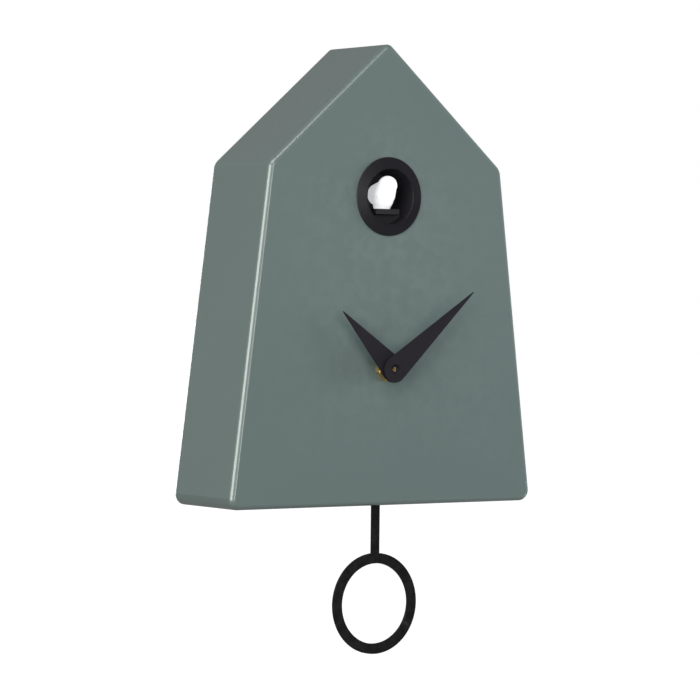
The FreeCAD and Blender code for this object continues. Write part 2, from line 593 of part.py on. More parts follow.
def pendulum():
    body = new_body("PendulumPlate")
    loop_sketch = sketch(body, "RingOutline")
    circle(loop_sketch, "ring_radius", start=(0, 0, sizes["ring_radius"]))
    circle(loop_sketch, "ring_radius - ring_band", start=(0, 0, sizes["ring_radius"] - sizes["ring_band"]))
    pad(body, "RingPad", loop_sketch, "rod_thick")
    rod_sketch = sketch(body, "RodOutline")
    reach = sizes["ring_low"] + sizes["pivot_high"]
    rectangle(rod_sketch, "rod_wide / 2", "ring_radius - ring_band / 2", "ring_low + pivot_high",
              (sizes["rod_wide"] / 2, sizes["ring_radius"] - sizes["ring_band"] / 2, reach))
    pad(body, "RodPad", rod_sketch, "rod_thick")
    eye = sketch(body, "EyeOutline")
    circle(eye, "eye_radius", y="ring_low + pivot_high", start=(0, reach, sizes["eye_radius"]))
    pad(body, "EyePad", eye, "rod_thick")
    hole = sketch(body, "EyeHole")
    circle(hole, "pin_radius + running_gap", y="ring_low + pivot_high",
           start=(0, reach, sizes["pin_radius"]))
    pocket(body, "EyeHoleCut", hole, "rod_thick")
    place(body, "0", rod_front, "-ring_low")
    node(body, "pendulum")
    node(rod("PendulumMagnet", ("0", rod_front + " + rod_thick", "magnet_high"), "magnet_radius",
             "magnet_thick"), "pendulum_magnet")


def pendulum_drive():
    drive_y = "(%s + rod_thick + magnet_thick + magnet_gap)" % rod_front
    half = "drive_wide / 2"
    outer = block("DriveOuter", ("-" + half, drive_y, "side_wall"),
                  ("drive_wide", "drive_deep", "drive_tall"))
    inner_low = ("drive_wall - " + half, drive_y + " + drive_wall", "side_wall + drive_wall")
    inner_size = [long + " - 2 * drive_wall" for long in ("drive_wide", "drive_deep", "drive_tall")]
    inner = block("DriveInner", inner_low, inner_size)
    socket = rod("PinSocket", ("0", drive_y, "pivot_high"), "pin_radius", "drive_wall")
    node(cut("DriveBox", outer, inner, socket), "pendulum_drive_box")
    head_y = "(%s - side_play - 1)" % rod_front
    shaft = rod("PinShaft", ("0", head_y, "pivot_high"), "pin_radius",
                "%s + drive_wall - %s" % (drive_y, head_y))
    head = rod("PinHead", ("0", head_y, "pivot_high"), "pin_head", "1")
    collar_y = "(%s + rod_thick + side_play)" % rod_front
    collar = rod("PinCollar", ("0", collar_y, "pivot_high"), "pin_head",
                 "%s - %s" % (drive_y, collar_y))
    node(join("PivotPin", shaft, head, collar), "pivot_pin")
    coil_y = "(%s + drive_wall + wheel_gap)" % drive_y
    node(ring("DriveCoil", ("0", coil_y, "magnet_high"), "drive_coil_radius", "drive_core_radius",
              "drive_coil_deep"), "drive_coil")
    node(rod("DriveCore", ("0", coil_y, "magnet_high"), "drive_core_radius", "drive_coil_deep + wheel_gap"),
         "drive_core")


def bird_bezel():
    body = new_body("BirdBezel")
    profile = sketch(body, "BezelProfile", "XY_Plane")
    inside, outside, flange = 18.1, 19.7, 25.5
    corners = [(inside, 0), (inside + 0.8, 0), (flange, 1.6), (flange, 2.4), (outside, 2.4),
               (outside, 24.4), (inside, 24.4)]
    first = loop(profile, corners)
    spots = [("opening_radius", "0"), ("opening_radius + lip_flat", "0"),
             ("flange_radius", "lip_out - flange_edge"), ("flange_radius", "lip_out"),
             (tube_radius, "lip_out"), (tube_radius, "lip_out + tube_long"),
             ("opening_radius", "lip_out + tube_long")]
    for number, (x, y) in enumerate(spots):
        fix(profile, first + number, 1, x, y)
    turn = body.newObject("PartDesign::Revolution", "BezelTurn")
    turn.Profile = profile
    turn.ReferenceAxis = (profile, ["V_Axis"])
    turn.Angle = 360
    doc.recompute()
    round_edges(body, "BezelSoftEdges", "lip_flat / 2", is_front_edge)
    place(body, "0", "-lip_out", "opening_high")
    node(body, "bird_bezel")
    disc = rod("LedgeDisc", ("0", "ledge_setback", "opening_high"), "opening_radius", "ledge_thick")
    trim = block("LedgeTrim", ("-opening_radius", "ledge_setback", "opening_high - opening_radius"),
                 ("2 * opening_radius", "ledge_thick",
                  "opening_radius - shelf_drop - shelf_thick - shelf_gap"))
    ledge = fresh("Part::MultiCommon", "Ledge")
    ledge.Shapes = [disc, trim]
    node(ledge, "opening_ledge")
    node(ring("Retainer", ("0", "case_wall", "opening_high"), tube_radius + " + retainer_wide", tube_radius,
              "retainer_thick"), "bezel_retainer")


def is_front_edge(edge):
    box = edge.BoundBox
    wide_enough = box.XLength > 2 * (sizes["opening_radius"] - 0.01)
    return wide_enough and box.YMax < sizes["lip_out"] - 0.01 and box.YLength < 0.01


def bird():
    head = bind(fresh("Part::Sphere", "BirdHead"), Radius="head_radius")
    place(head, "0", "head_back", shelf_top + " + head_high")
    breast = bind(fresh("Part::Sphere", "BirdBreast"), Radius="body_radius")
    place(breast, "0", "body_back", shelf_top + " + body_high")
    tail = bind(fresh("Part::Ellipsoid", "BirdTail"), Radius1="tail_thick", Radius2="tail_wide",
                Radius3="tail_long")
    place(tail, "0", "tail_back", shelf_top + " + tail_high")
    base = rod("BirdBase", ("0", "base_back", shelf_top), "base_radius", "body_high", "z")
    whole = join("BirdWhole", head, breast, tail, base)
    room = block("BirdRoom", ("-2 * body_radius", "head_back - 2 * head_radius", shelf_top),
                 ("4 * body_radius", "8 * body_radius", "8 * body_radius"))
    trimmed = fresh("Part::MultiCommon", "Bird")
    trimmed.Shapes = [whole, room]
    node(trimmed, "bird")


rack_pitch_line = "(%s - tooth_root * rack_module)" % shelf_low
pinion_high = "(%s - rack_module * pinion_teeth / 2)" % rack_pitch_line
motor_high = "(%s - drive_module * (wheel_teeth + motor_teeth) / 2)" % pinion_high
gear_x = "(pinion_thick / 2 + gear_gap)"
plate_x = "(%s + gear_thick + plate_gap)" % gear_x
bar_back = "(pinion_back + pi * rack_module * (rack_teeth - 1))"
frame_back = "(%s + rear_gap)" % bar_back


def bird_carriage():
    shelf = block("Shelf", ("-shelf_wide / 2", "shelf_front", shelf_low),
                  ("shelf_wide", "tube_long - shelf_front - guide_gap", "shelf_thick"))
    bar = block("Bar", ("-bar_wide / 2", "shelf_front", shelf_low),
                ("bar_wide", bar_back + " - shelf_front", "shelf_thick"))
    teeth = []
    for number in range(sizes["rack_teeth"]):
        tooth = fresh("Part::Wedge", "RackTooth%d" % number)
        bind(tooth, Xmin="-pinion_thick / 2", Xmax="pinion_thick / 2", X2min="-pinion_thick / 2",
             X2max="pinion_thick / 2", Zmin="-root_half * rack_module", Zmax="root_half * rack_module",
             Z2min="-tip_half * rack_module", Z2max="tip_half * rack_module",
             Ymin="-0.2 * rack_module", Ymax="(tooth_root + tooth_top) * rack_module")
        tooth.Placement = FreeCAD.Placement(FreeCAD.Vector(), turned["y"])
        place(tooth, "0", "pinion_back + pi * rack_module * (%d - 0.5)" % number, shelf_low)
        teeth.append(tooth)
    node(join("Carriage", shelf, bar, *teeth), "bird_carriage")


def carriage_drive():
    pinion = toothed("RackPinion", ("-pinion_thick / 2", "pinion_back", pinion_high), "pinion_teeth",
                     "rack_module", "pinion_thick", "x", bore="axle_radius + running_gap")
    link = ring("GearHub", ("pinion_thick / 2", "pinion_back", pinion_high), "axle_radius + 1.5",
                "axle_radius + running_gap", "gear_gap", "x")
    wheel = toothed("DriveWheel", (gear_x, "pinion_back", pinion_high), "wheel_teeth", "drive_module",
                    "gear_thick", "x", bore="axle_radius + running_gap")
    node(join("DriveGear", pinion, link, wheel), "drive_gear")
    node(rod("GearAxle", ("-(%s + guide_wall)" % plate_x, "pinion_back", pinion_high), "axle_radius",
             "2 * (%s + guide_wall)" % plate_x, "x"), "gear_axle")
    node(toothed("MotorPinion", (gear_x, "pinion_back", motor_high), "motor_teeth", "drive_module",
                 "gear_thick", "x", half_step=True, bore="axle_radius"), "motor_pinion")
    node(rod("MotorShaft", (gear_x, "pinion_back", motor_high), "axle_radius",
             "%s + guide_wall + shaft_in - %s" % (plate_x, gear_x), "x"), "motor_shaft")
    can = rod("MotorCan", ("%s + guide_wall" % plate_x, "pinion_back", motor_high), "motor_radius",
              "motor_long", "x")
    nose = rod("MotorNose", (plate_x, "pinion_back", motor_high), "axle_radius + 1.5", "guide_wall", "x")
    bore = rod("MotorBore", (plate_x, "pinion_back", motor_high), "axle_radius + running_gap",
               "guide_wall + shaft_in + 0.5", "x")
    node(cut("CarriageMotor", join("MotorBlank", can, nose), bore), "carriage_motor")


def cuckoo_frame():
    frame_top = "(%s + roof_gap + guide_wall)" % shelf_top
    collar = ring("FrameCollar", ("0", "tube_long - collar_long", "opening_high"),
                  tube_radius + " + collar_wall", tube_radius, "collar_long")
    disc = rod("FrameDisc", ("0", "tube_long", "opening_high"), tube_radius + " + collar_wall",
               "guide_wall")
    apron = block("FrameApron", ("-(%s + guide_wall)" % plate_x, "tube_long", "motor_low"),
                  ("2 * (%s + guide_wall)" % plate_x, "guide_wall", "%s - motor_low" % shelf_low))
    window = block("FrameWindow", ("-bar_wide / 2 - guide_gap", "tube_long", shelf_low + " - guide_gap"),
                   ("bar_wide + 2 * guide_gap", "guide_wall", "shelf_thick + 2 * guide_gap"))
    notch = block("FrameNotch", ("-bar_wide / 2 - guide_gap", "tube_long", "motor_low + 4"),
                  ("bar_wide + 2 * guide_gap", "guide_wall", "%s - motor_low - 4" % shelf_low))
    plates = []
    for side, x in (("Left", "-(%s + guide_wall)" % plate_x), ("Right", plate_x)):
        plates.append(block("FramePlate" + side, (x, "tube_long", "motor_low"),
                            ("guide_wall", frame_back + " - tube_long", "%s - motor_low" % frame_top)))
    rear = block("FrameRear", ("-(%s + guide_wall)" % plate_x, frame_back, "motor_low"),
                 ("2 * (%s + guide_wall)" % plate_x, "guide_wall", "%s - motor_low" % frame_top))
    roof = block("FrameRoof", ("-(%s + guide_wall)" % plate_x, "tube_long", "%s - guide_wall" % frame_top),
                 ("2 * (%s + guide_wall)" % plate_x, frame_back + " - tube_long", "guide_wall"))
    axle_hole = rod("FrameAxleHole", ("-(%s + guide_wall)" % plate_x, "pinion_back", pinion_high),
                    "axle_radius", "2 * (%s + guide_wall)" % plate_x, "x")
    nose_hole = rod("FrameNoseHole", (plate_x, "pinion_back", motor_high), "axle_radius + 1.5",
                    "guide_wall", "x")
    solid = join("FrameSolid", collar, disc, apron, rear, roof, *plates)
    node(cut("CuckooFrame", solid, window, notch, axle_hole, nose_hole), "cuckoo_frame")


# battery bay, from the cells outwards
cell_step = "(2 * cell_radius + cell_gap)"
tray_wide = "(cell_long + nub_long + 2 * contact_room + 2 * tray_wall)"
tray_tall = "(3 * %s + cell_gap + 2 * tray_wall)" % cell_step
tray_deep = "(2 * cell_radius + cell_gap + 2 * tray_wall)"
door_left = "(tray_left + tray_wall)"
door_low = "(tray_low + tray_wall)"
door_wide = "(%s - 2 * tray_wall)" % tray_wide
door_tall = "(%s - 2 * tray_wall)" % tray_tall
hinge_y = "(%s - hinge_radius)" % cover_back
hinge_z = "(%s + %s - door_gap - hinge_radius)" % (door_low, door_tall)


def battery_bay():
    outer = block("TrayOuter", ("tray_left", "%s - %s" % (cover_front, tray_deep), "tray_low"),
                  (tray_wide, tray_deep, tray_tall))
    inner = block("TrayInner", (door_left, "%s - %s + tray_wall" % (cover_front, tray_deep), door_low),
                  (door_wide, tray_deep, door_tall))
    node(cut("BatteryTray", outer, inner), "battery_tray")
    cell_y = "(%s - %s + tray_wall + cell_gap / 2 + cell_radius)" % (cover_front, tray_deep)
    cells, contacts = [], []
    for number in range(3):
        z = "(%s + cell_gap + cell_radius + %d * %s)" % (door_low, number, cell_step)
        flipped = number % 2
        can_x = door_left + " + contact_room" + (" + nub_long" if flipped else "")
        nub_x = door_left + " + contact_room" + ("" if flipped else " + cell_long")
        can = rod("CellCan%d" % number, (can_x, cell_y, z), "cell_radius", "cell_long", "x")
        nub = rod("CellNub%d" % number, (nub_x, cell_y, z), "nub_radius", "nub_long", "x")
        cells.append(join("Cell%d" % number, can, nub))
        for side, x, inward, ends in (
                ("Left", door_left, "leaf_thick", ("spring_radius", "spring_tip")),
                ("Right", "%s + %s - leaf_thick" % (door_left, door_wide), "leaf_thick - contact_room",
                 ("spring_tip", "spring_radius"))):
            leaf = block("Leaf%s%d" % (side, number),
                         (x, cell_y + " - leaf_wide / 2", z + " - leaf_wide / 2"),
                         ("leaf_thick", "leaf_wide", "leaf_wide"))
            spring = cone("Spring%s%d" % (side, number), ("%s + %s" % (x, inward), cell_y, z), *ends,
                          "contact_room - leaf_thick", "x")
            contacts.append(join("Contact%s%d" % (side, number), leaf, spring))
    node(group("Cells", cells), "aa_cells")
    node(group("Contacts", contacts), "battery_contacts")


def battery_door():
    leaf_low = (door_left + " + door_gap", cover_back + " - door_thick", door_low + " + door_gap")
    leaf = block("DoorLeaf", leaf_low, (door_wide + " - 2 * door_gap", "door_thick",
                                        "%s - %s" % (hinge_z, door_low + " - door_gap")))
    barrel = rod("DoorBarrel", (door_left + " + door_gap", hinge_y, hinge_z), "hinge_radius",
                 door_wide + " - 2 * door_gap", "x")
    pins = rod("DoorPins", (door_left + " + running_gap * 2 - hinge_pin_long", hinge_y, hinge_z),
               "hinge_pin", door_wide + " + 2 * hinge_pin_long - 4 * running_gap", "x")
    grip = block("DoorGrip", ("%s + %s / 2 - 8" % (door_left, door_wide), cover_back + " - door_thick / 2",
                              door_low + " + door_gap + 3"), ("16", "door_thick", "2"))
    node(cut("BatteryDoor", join("DoorBlank", leaf, barrel, pins), grip), "battery_door")


def sound():
    flange = ring("SpeakerFlange", ("speaker_x", cover_front + " - 2", "speaker_high"), "speaker_radius",
                  "speaker_radius - 3", "2")
    throat = cone("BasketOuter", ("speaker_x", cover_front + " - speaker_deep", "speaker_high"),
                  "magnet_back_radius", "speaker_radius - 1.5", "speaker_deep - 1")
    bowl = cone("BasketInner", ("speaker_x", cover_front + " - speaker_deep + 1.5", "speaker_high"),
                "magnet_back_radius - 2", "speaker_radius - 2.5", "speaker_deep")
    node(join("SpeakerBasket", flange, cut("BasketBowl", throat, bowl)), "speaker_basket")
    magnet_y = cover_front + " - speaker_deep - magnet_back_thick"
    node(rod("SpeakerMagnet", ("speaker_x", magnet_y, "speaker_high"), "magnet_back_radius",
             "magnet_back_thick"), "speaker_magnet")
    skin = cone("ConeOuter", ("speaker_x", cover_front + " - speaker_deep + 3", "speaker_high"), "5",
                "speaker_radius - 6", "speaker_deep - 5")
    inside = cone("ConeInner", ("speaker_x", cover_front + " - speaker_deep + 4", "speaker_high"), "5",
                  "speaker_radius - 6", "speaker_deep - 5")
    node(cut("SpeakerCone", skin, inside), "speaker_cone")
    board_y = "(%s - standoff - board_thick)" % cover_front
    parts = [block("SoundSheet", ("sound_x", board_y, "sound_low"),
                   ("sound_wide", "board_thick", "sound_tall")),
             block("SoundChip", ("sound_x + 14", board_y + " - 2", "sound_low + 12"), ("12", "2", "12")),
             rod("SoundCap", ("sound_x + 34", board_y + " - 7", "sound_low + 10"), "3", "7")]
    for number, (x, z) in enumerate((("4", "4"), ("sound_wide - 4", "4"), ("4", "sound_tall - 4"),
                                     ("sound_wide - 4", "sound_tall - 4"))):
        foot = ("sound_x + " + x, board_y + " + board_thick", "sound_low + " + z)
        parts.append(rod("Standoff%d" % number, foot, "2", "standoff"))
    node(join("SoundBoard", *parts), "sound_board")
    travel_wide = "(slider_wide + switch_travel)"
    housing = block("SwitchHousing", ("switch_x + %s / 2 - slider_wide / 2 - switch_wide / 2" % travel_wide,
                                      cover_front + " - switch_deep", "switch_high - switch_tall / 2"),
                    ("switch_wide", "switch_deep", "switch_tall"))
    channel = block("SwitchChannel", ("switch_x - slider_wide / 2 - cover_gap",
                                      cover_front + " - switch_deep / 2",
                                      "switch_high - slider_tall / 2 - cover_gap"),
                    (travel_wide + " + 2 * cover_gap", "switch_deep / 2", "slider_tall + 2 * cover_gap"))
    node(cut("SwitchBody", housing, channel), "switch_body")
    slider_low = ("switch_x - slider_wide / 2", cover_front + " - switch_deep / 2 + running_gap",
                  "switch_high - slider_tall / 2")
    slider_size = ("slider_wide", "switch_deep / 2 + cover_thick + cover_sink / 2", "slider_tall")
    node(block("SwitchSlider", slider_low, slider_size), "switch_slider")


case_shell()
back_cover()
cover_screws()
wall_hanger()
hand("hour", "HourHand", "pipe_radius")
hand("minute", "MinuteHand", "minute_eye")
centre_fittings()
movement()
motion_work()
stepper()
pendulum()
pendulum_drive()
bird_bezel()
bird()
bird_carriage()
carriage_drive()
cuckoo_frame()
battery_bay()
battery_door()
sound()

doc.recompute()
for item in doc.Objects:
    if "Invalid" in item.State or "Error" in item.State:
        raise ValueError("%s failed: %s" % (item.Name, item.State))
for item in nodes:
    if item.Shape.isNull() or not item.Shape.isValid():
        raise ValueError(item.Label + " has no valid shape")

os.makedirs("parts", exist_ok=True)
for item in nodes:
    item.Shape.exportStep("parts/%s.step" % item.Label)
    print(item.Label, len(item.Shape.Solids), round(item.Shape.Volume, 1))
print(len(nodes), "nodes")
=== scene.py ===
import json
from math import atan, atan2, cos, pi, radians, sin, sqrt, tan

import bpy
from mathutils import Matrix, Vector


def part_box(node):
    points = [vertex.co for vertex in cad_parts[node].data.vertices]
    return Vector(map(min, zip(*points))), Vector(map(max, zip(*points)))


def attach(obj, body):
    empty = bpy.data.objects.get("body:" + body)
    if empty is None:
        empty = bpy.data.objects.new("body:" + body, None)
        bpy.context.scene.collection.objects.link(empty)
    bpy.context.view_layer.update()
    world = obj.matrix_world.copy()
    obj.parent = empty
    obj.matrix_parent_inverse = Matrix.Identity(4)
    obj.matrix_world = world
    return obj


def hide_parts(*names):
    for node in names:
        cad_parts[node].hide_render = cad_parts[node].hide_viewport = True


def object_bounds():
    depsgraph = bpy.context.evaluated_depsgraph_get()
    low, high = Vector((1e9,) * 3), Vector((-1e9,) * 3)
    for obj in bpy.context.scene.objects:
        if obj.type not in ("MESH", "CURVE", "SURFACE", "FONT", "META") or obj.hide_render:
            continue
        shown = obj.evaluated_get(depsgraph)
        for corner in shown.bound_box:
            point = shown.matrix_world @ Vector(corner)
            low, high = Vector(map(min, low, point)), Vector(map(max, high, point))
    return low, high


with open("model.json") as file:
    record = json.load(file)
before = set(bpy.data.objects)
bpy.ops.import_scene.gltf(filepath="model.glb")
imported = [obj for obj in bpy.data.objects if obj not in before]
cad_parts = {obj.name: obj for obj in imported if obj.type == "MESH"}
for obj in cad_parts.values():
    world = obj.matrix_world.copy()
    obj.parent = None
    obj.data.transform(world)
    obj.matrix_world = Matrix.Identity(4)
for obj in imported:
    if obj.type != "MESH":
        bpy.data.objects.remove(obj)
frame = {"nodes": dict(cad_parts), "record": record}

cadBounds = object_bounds()
nodes = frame["nodes"]
record = frame["record"]
caseLow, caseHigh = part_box("case_shell")
frontY, rearY, footZ = caseLow.y, caseHigh.y, caseLow.z


def spot(x, back, high):  # millimetres: across, behind the front face, above the foot of the case
    return Vector((x / 1000, frontY + back / 1000, footZ + high / 1000))


def only(piece):
    if bpy.context.mode != "OBJECT":
        bpy.ops.object.mode_set(mode="OBJECT")
    bpy.ops.object.select_all(action="DESELECT")
    bpy.context.view_layer.objects.active = piece
    piece.select_set(True)


def started(name):  # names the primitive just added and moves its place into the mesh
    piece = bpy.context.object
    piece.name = name
    piece.data.name = name
    only(piece)
    bpy.ops.object.transform_apply(location=True, rotation=True, scale=True)
    return piece


def pickPoints(piece, test):  # edit mode, with the points that pass the test selected
    if bpy.context.mode != "OBJECT":
        bpy.ops.object.mode_set(mode="OBJECT")
    only(piece)
    bpy.ops.object.mode_set(mode="EDIT")
    bpy.ops.mesh.select_mode(type="VERT")
    bpy.ops.mesh.select_all(action="DESELECT")
    bpy.ops.object.mode_set(mode="OBJECT")
    for point in piece.data.vertices:
        point.select = bool(test(point.co))
    bpy.ops.object.mode_set(mode="EDIT")


def pickEdges(piece, test):  # the same for edges, by the places of both ends
    pickPoints(piece, lambda place: False)
    bpy.ops.mesh.select_mode(type="EDGE")
    bpy.ops.object.mode_set(mode="OBJECT")
    points = piece.data.vertices
    for edge in piece.data.edges:
        edge.select = bool(test(points[edge.vertices[0]].co, points[edge.vertices[1]].co))
    bpy.ops.object.mode_set(mode="EDIT")


def applied(piece, kind, **values):
    only(piece)
    extra = piece.modifiers.new(kind.title(), kind)
    for key, value in values.items():
        setattr(extra, key, value)
    bpy.ops.object.modifier_apply(modifier=extra.name)
    return piece


def tidied(piece, merge=1e-6):
    only(piece)
    bpy.ops.object.mode_set(mode="EDIT")
    bpy.ops.mesh.select_mode(type="VERT")
    bpy.ops.mesh.select_all(action="SELECT")
    bpy.ops.mesh.remove_doubles(threshold=merge)
    bpy.ops.mesh.normals_make_consistent(inside=False)
    bpy.ops.object.mode_set(mode="OBJECT")
    return piece


def softened(piece, width, segments=3, angle=35):  # rounds the hard edges, then shades the piece
    if width:
        applied(piece, "BEVEL", width=width / 1000, segments=segments, limit_method="ANGLE",
                angle_limit=radians(angle), use_clamp_overlap=True)
    only(piece)
    bpy.ops.object.shade_smooth_by_angle(angle=radians(angle))
    return applied(piece, "WEIGHTED_NORMAL", keep_sharp=True, weight=60)


def carved(piece, tool):
    applied(piece, "BOOLEAN", object=tool, operation="DIFFERENCE", solver="EXACT")
    bpy.data.objects.remove(tool)
    return piece


def disc(name, centre, radius, deep, sides):  # a cylinder that runs from front to back
    bpy.ops.mesh.primitive_cylinder_add(vertices=sides, radius=radius / 1000, depth=deep / 1000,
                                        location=centre, rotation=(pi / 2, 0, 0))
    return started(name)


# rings are (radius, distance behind the front face) in millimetres, in order round the profile
def turnedPiece(name, high, rings, sides, closed=True):
    radius, back = rings[0]
    bpy.ops.mesh.primitive_circle_add(vertices=sides, radius=radius / 1000, location=spot(0, back, high),
                                      rotation=(pi / 2, 0, 0))
    piece = started(name)
    bpy.ops.object.mode_set(mode="EDIT")
    bpy.ops.mesh.select_mode(type="VERT")
    bpy.ops.mesh.select_all(action="SELECT")
    if not closed:
        bpy.ops.mesh.edge_face_add()
    for nextRadius, nextBack in rings[1:] + (rings[:1] if closed else []):
        bpy.ops.mesh.extrude_region_move()
        scale = nextRadius / radius
        bpy.ops.transform.resize(value=(scale, 1, scale), center_override=spot(0, back, high))
        bpy.ops.transform.translate(value=(0, (nextBack - back) / 1000, 0))
        radius, back = nextRadius, nextBack
    bpy.ops.object.mode_set(mode="OBJECT")
    return tidied(piece, 1e-7)


def groupTree(name, inputs, outputs):
    tree = bpy.data.node_groups.new(name, "ShaderNodeTree")
    for label, kind, value in inputs:
        socket = tree.interface.new_socket(name=label, in_out="INPUT", socket_type=kind)
        socket.default_value = value
    for label, kind in outputs:
        tree.interface.new_socket(name=label, in_out="OUTPUT", socket_type=kind)
    return tree, tree.nodes.new("NodeGroupInput"), tree.nodes.new("NodeGroupOutput")


def addNode(tree, kind, **values):
    item = tree.nodes.new(kind)
    for key, value in values.items():
        setattr(item, key, value)
    return item


def mathNode(tree, operation, first, second):
    item = addNode(tree, "ShaderNodeMath", operation=operation)
    for socket, value in zip(item.inputs, (first, second)):
        if isinstance(value, (int, float)):
            socket.default_value = value
        else:
            tree.links.new(value, socket)
    return item.outputs[0]


def noiseNode(tree, place, scale, detail=3.0, rough=0.5):
    item = addNode(tree, "ShaderNodeTexNoise")
    item.inputs["Detail"].default_value = detail
    item.inputs["Roughness"].default_value = rough
    tree.links.new(place, item.inputs["Vector"])
    if isinstance(scale, (int, float)):
        item.inputs["Scale"].default_value = scale
    else:
        tree.links.new(scale, item.inputs["Scale"])
    return item.outputs["Fac"]


def mixColour(tree, factor, first, second, blend="MIX"):
    item = addNode(tree, "ShaderNodeMix", data_type="RGBA", blend_type=blend)
    for socket, value in ((item.inputs[0], factor), (item.inputs[6], first), (item.inputs[7], second)):
        if isinstance(value, (int, float, tuple)):
            socket.default_value = value
        else:
            tree.links.new(value, socket)
    return item.outputs[2]


def spread(tree, value, low, high, outLow=0.0, outHigh=1.0):
    item = addNode(tree, "ShaderNodeMapRange")
    tree.links.new(value, item.inputs["Value"])
    for socket, number in zip(item.inputs[1:5], (low, high, outLow, outHigh)):
        socket.default_value = number
    return item.outputs[0]


def buildCloudyTint():  # slow drift of tone over a painted or moulded face
    tree, given, out = groupTree("cloudyTint", [("Place", "NodeSocketVector", (0, 0, 0)),
                                                ("Scale", "NodeSocketFloat", 20.0),
                                                ("Amount", "NodeSocketFloat", 0.1),
                                                ("Colour", "NodeSocketColor", (1, 1, 1, 1))],
                                 [("Colour", "NodeSocketColor"), ("Mask", "NodeSocketFloat")])
    cloud = noiseNode(tree, given.outputs["Place"], given.outputs["Scale"], 2.0)
    mask = spread(tree, cloud, 0.3, 0.7)
    darker = mixColour(tree, 1.0, given.outputs["Colour"], (0.72, 0.74, 0.76, 1), "MULTIPLY")
    strength = mathNode(tree, "MULTIPLY", mask, given.outputs["Amount"])
    tree.links.new(mixColour(tree, strength, given.outputs["Colour"], darker), out.inputs["Colour"])
    tree.links.new(mask, out.inputs["Mask"])
    return tree


def buildFineGrain():  # skin of a sprayed or moulded surface: height and roughness that wander
    tree, given, out = groupTree("fineGrain", [("Place", "NodeSocketVector", (0, 0, 0)),
                                               ("Grain", "NodeSocketFloat", 900.0),
                                               ("Wave", "NodeSocketFloat", 120.0),
                                               ("Wave share", "NodeSocketFloat", 0.4),
                                               ("Rough low", "NodeSocketFloat", 0.3),
                                               ("Rough high", "NodeSocketFloat", 0.4)],
                                 [("Height", "NodeSocketFloat"), ("Roughness", "NodeSocketFloat")])
    fine = noiseNode(tree, given.outputs["Place"], given.outputs["Grain"], 2.0)
    slow = noiseNode(tree, given.outputs["Place"], given.outputs["Wave"], 3.0)
    slowPart = mathNode(tree, "MULTIPLY", slow, given.outputs["Wave share"])
    tree.links.new(mathNode(tree, "ADD", fine, slowPart), out.inputs["Height"])
    gap = mathNode(tree, "SUBTRACT", given.outputs["Rough high"], given.outputs["Rough low"])
    share = mathNode(tree, "MULTIPLY", slow, gap)
    tree.links.new(mathNode(tree, "ADD", given.outputs["Rough low"], share), out.inputs["Roughness"])
    return tree


def buildEdgeRub():  # where hands and cloths have rubbed an edge
    tree, given, out = groupTree("edgeRub", [("Place", "NodeSocketVector", (0, 0, 0)),
                                             ("Start", "NodeSocketFloat", 0.52),
                                             ("Amount", "NodeSocketFloat", 0.3)],
                                 [("Mask", "NodeSocketFloat")])
    shape = addNode(tree, "ShaderNodeNewGeometry")
    above = mathNode(tree, "SUBTRACT", shape.outputs["Pointiness"], given.outputs["Start"])
    sharp = mathNode(tree, "MULTIPLY", above, 14.0)
    patches = spread(tree, noiseNode(tree, given.outputs["Place"], 160.0, 4.0), 0.42, 0.62)
    worn = mathNode(tree, "MULTIPLY", sharp, patches)
    clamped = addNode(tree, "ShaderNodeClamp")
    tree.links.new(mathNode(tree, "MULTIPLY", worn, given.outputs["Amount"]), clamped.inputs["Value"])
    tree.links.new(clamped.outputs[0], out.inputs["Mask"])
    return tree


def buildDust():  # pale specks that settle on faces that look up
    tree, given, out = groupTree("dust", [("Place", "NodeSocketVector", (0, 0, 0)),
                                          ("Amount", "NodeSocketFloat", 0.1)],
                                 [("Mask", "NodeSocketFloat")])
    shape = addNode(tree, "ShaderNodeNewGeometry")
    split = addNode(tree, "ShaderNodeSeparateXYZ")
    tree.links.new(shape.outputs["Normal"], split.inputs[0])
    upward = spread(tree, split.outputs["Z"], 0.2, 0.95)
    specks = spread(tree, noiseNode(tree, given.outputs["Place"], 1400.0, 4.0, 0.7), 0.5, 0.75)
    lying = mathNode(tree, "MULTIPLY", upward, specks)
    tree.links.new(mathNode(tree, "MULTIPLY", lying, given.outputs["Amount"]), out.inputs["Mask"])
    return tree


cloudyTint, fineGrain, edgeRub, dust = buildCloudyTint(), buildFineGrain(), buildEdgeRub(), buildDust()


def linear(red, green, blue):  # from the 0 to 255 values of a colour picker
    values = [value / 255 for value in (red, green, blue)]
    return tuple(v / 12.92 if v <= 0.04045 else ((v + 0.055) / 1.055) ** 2.4 for v in values) + (1.0,)


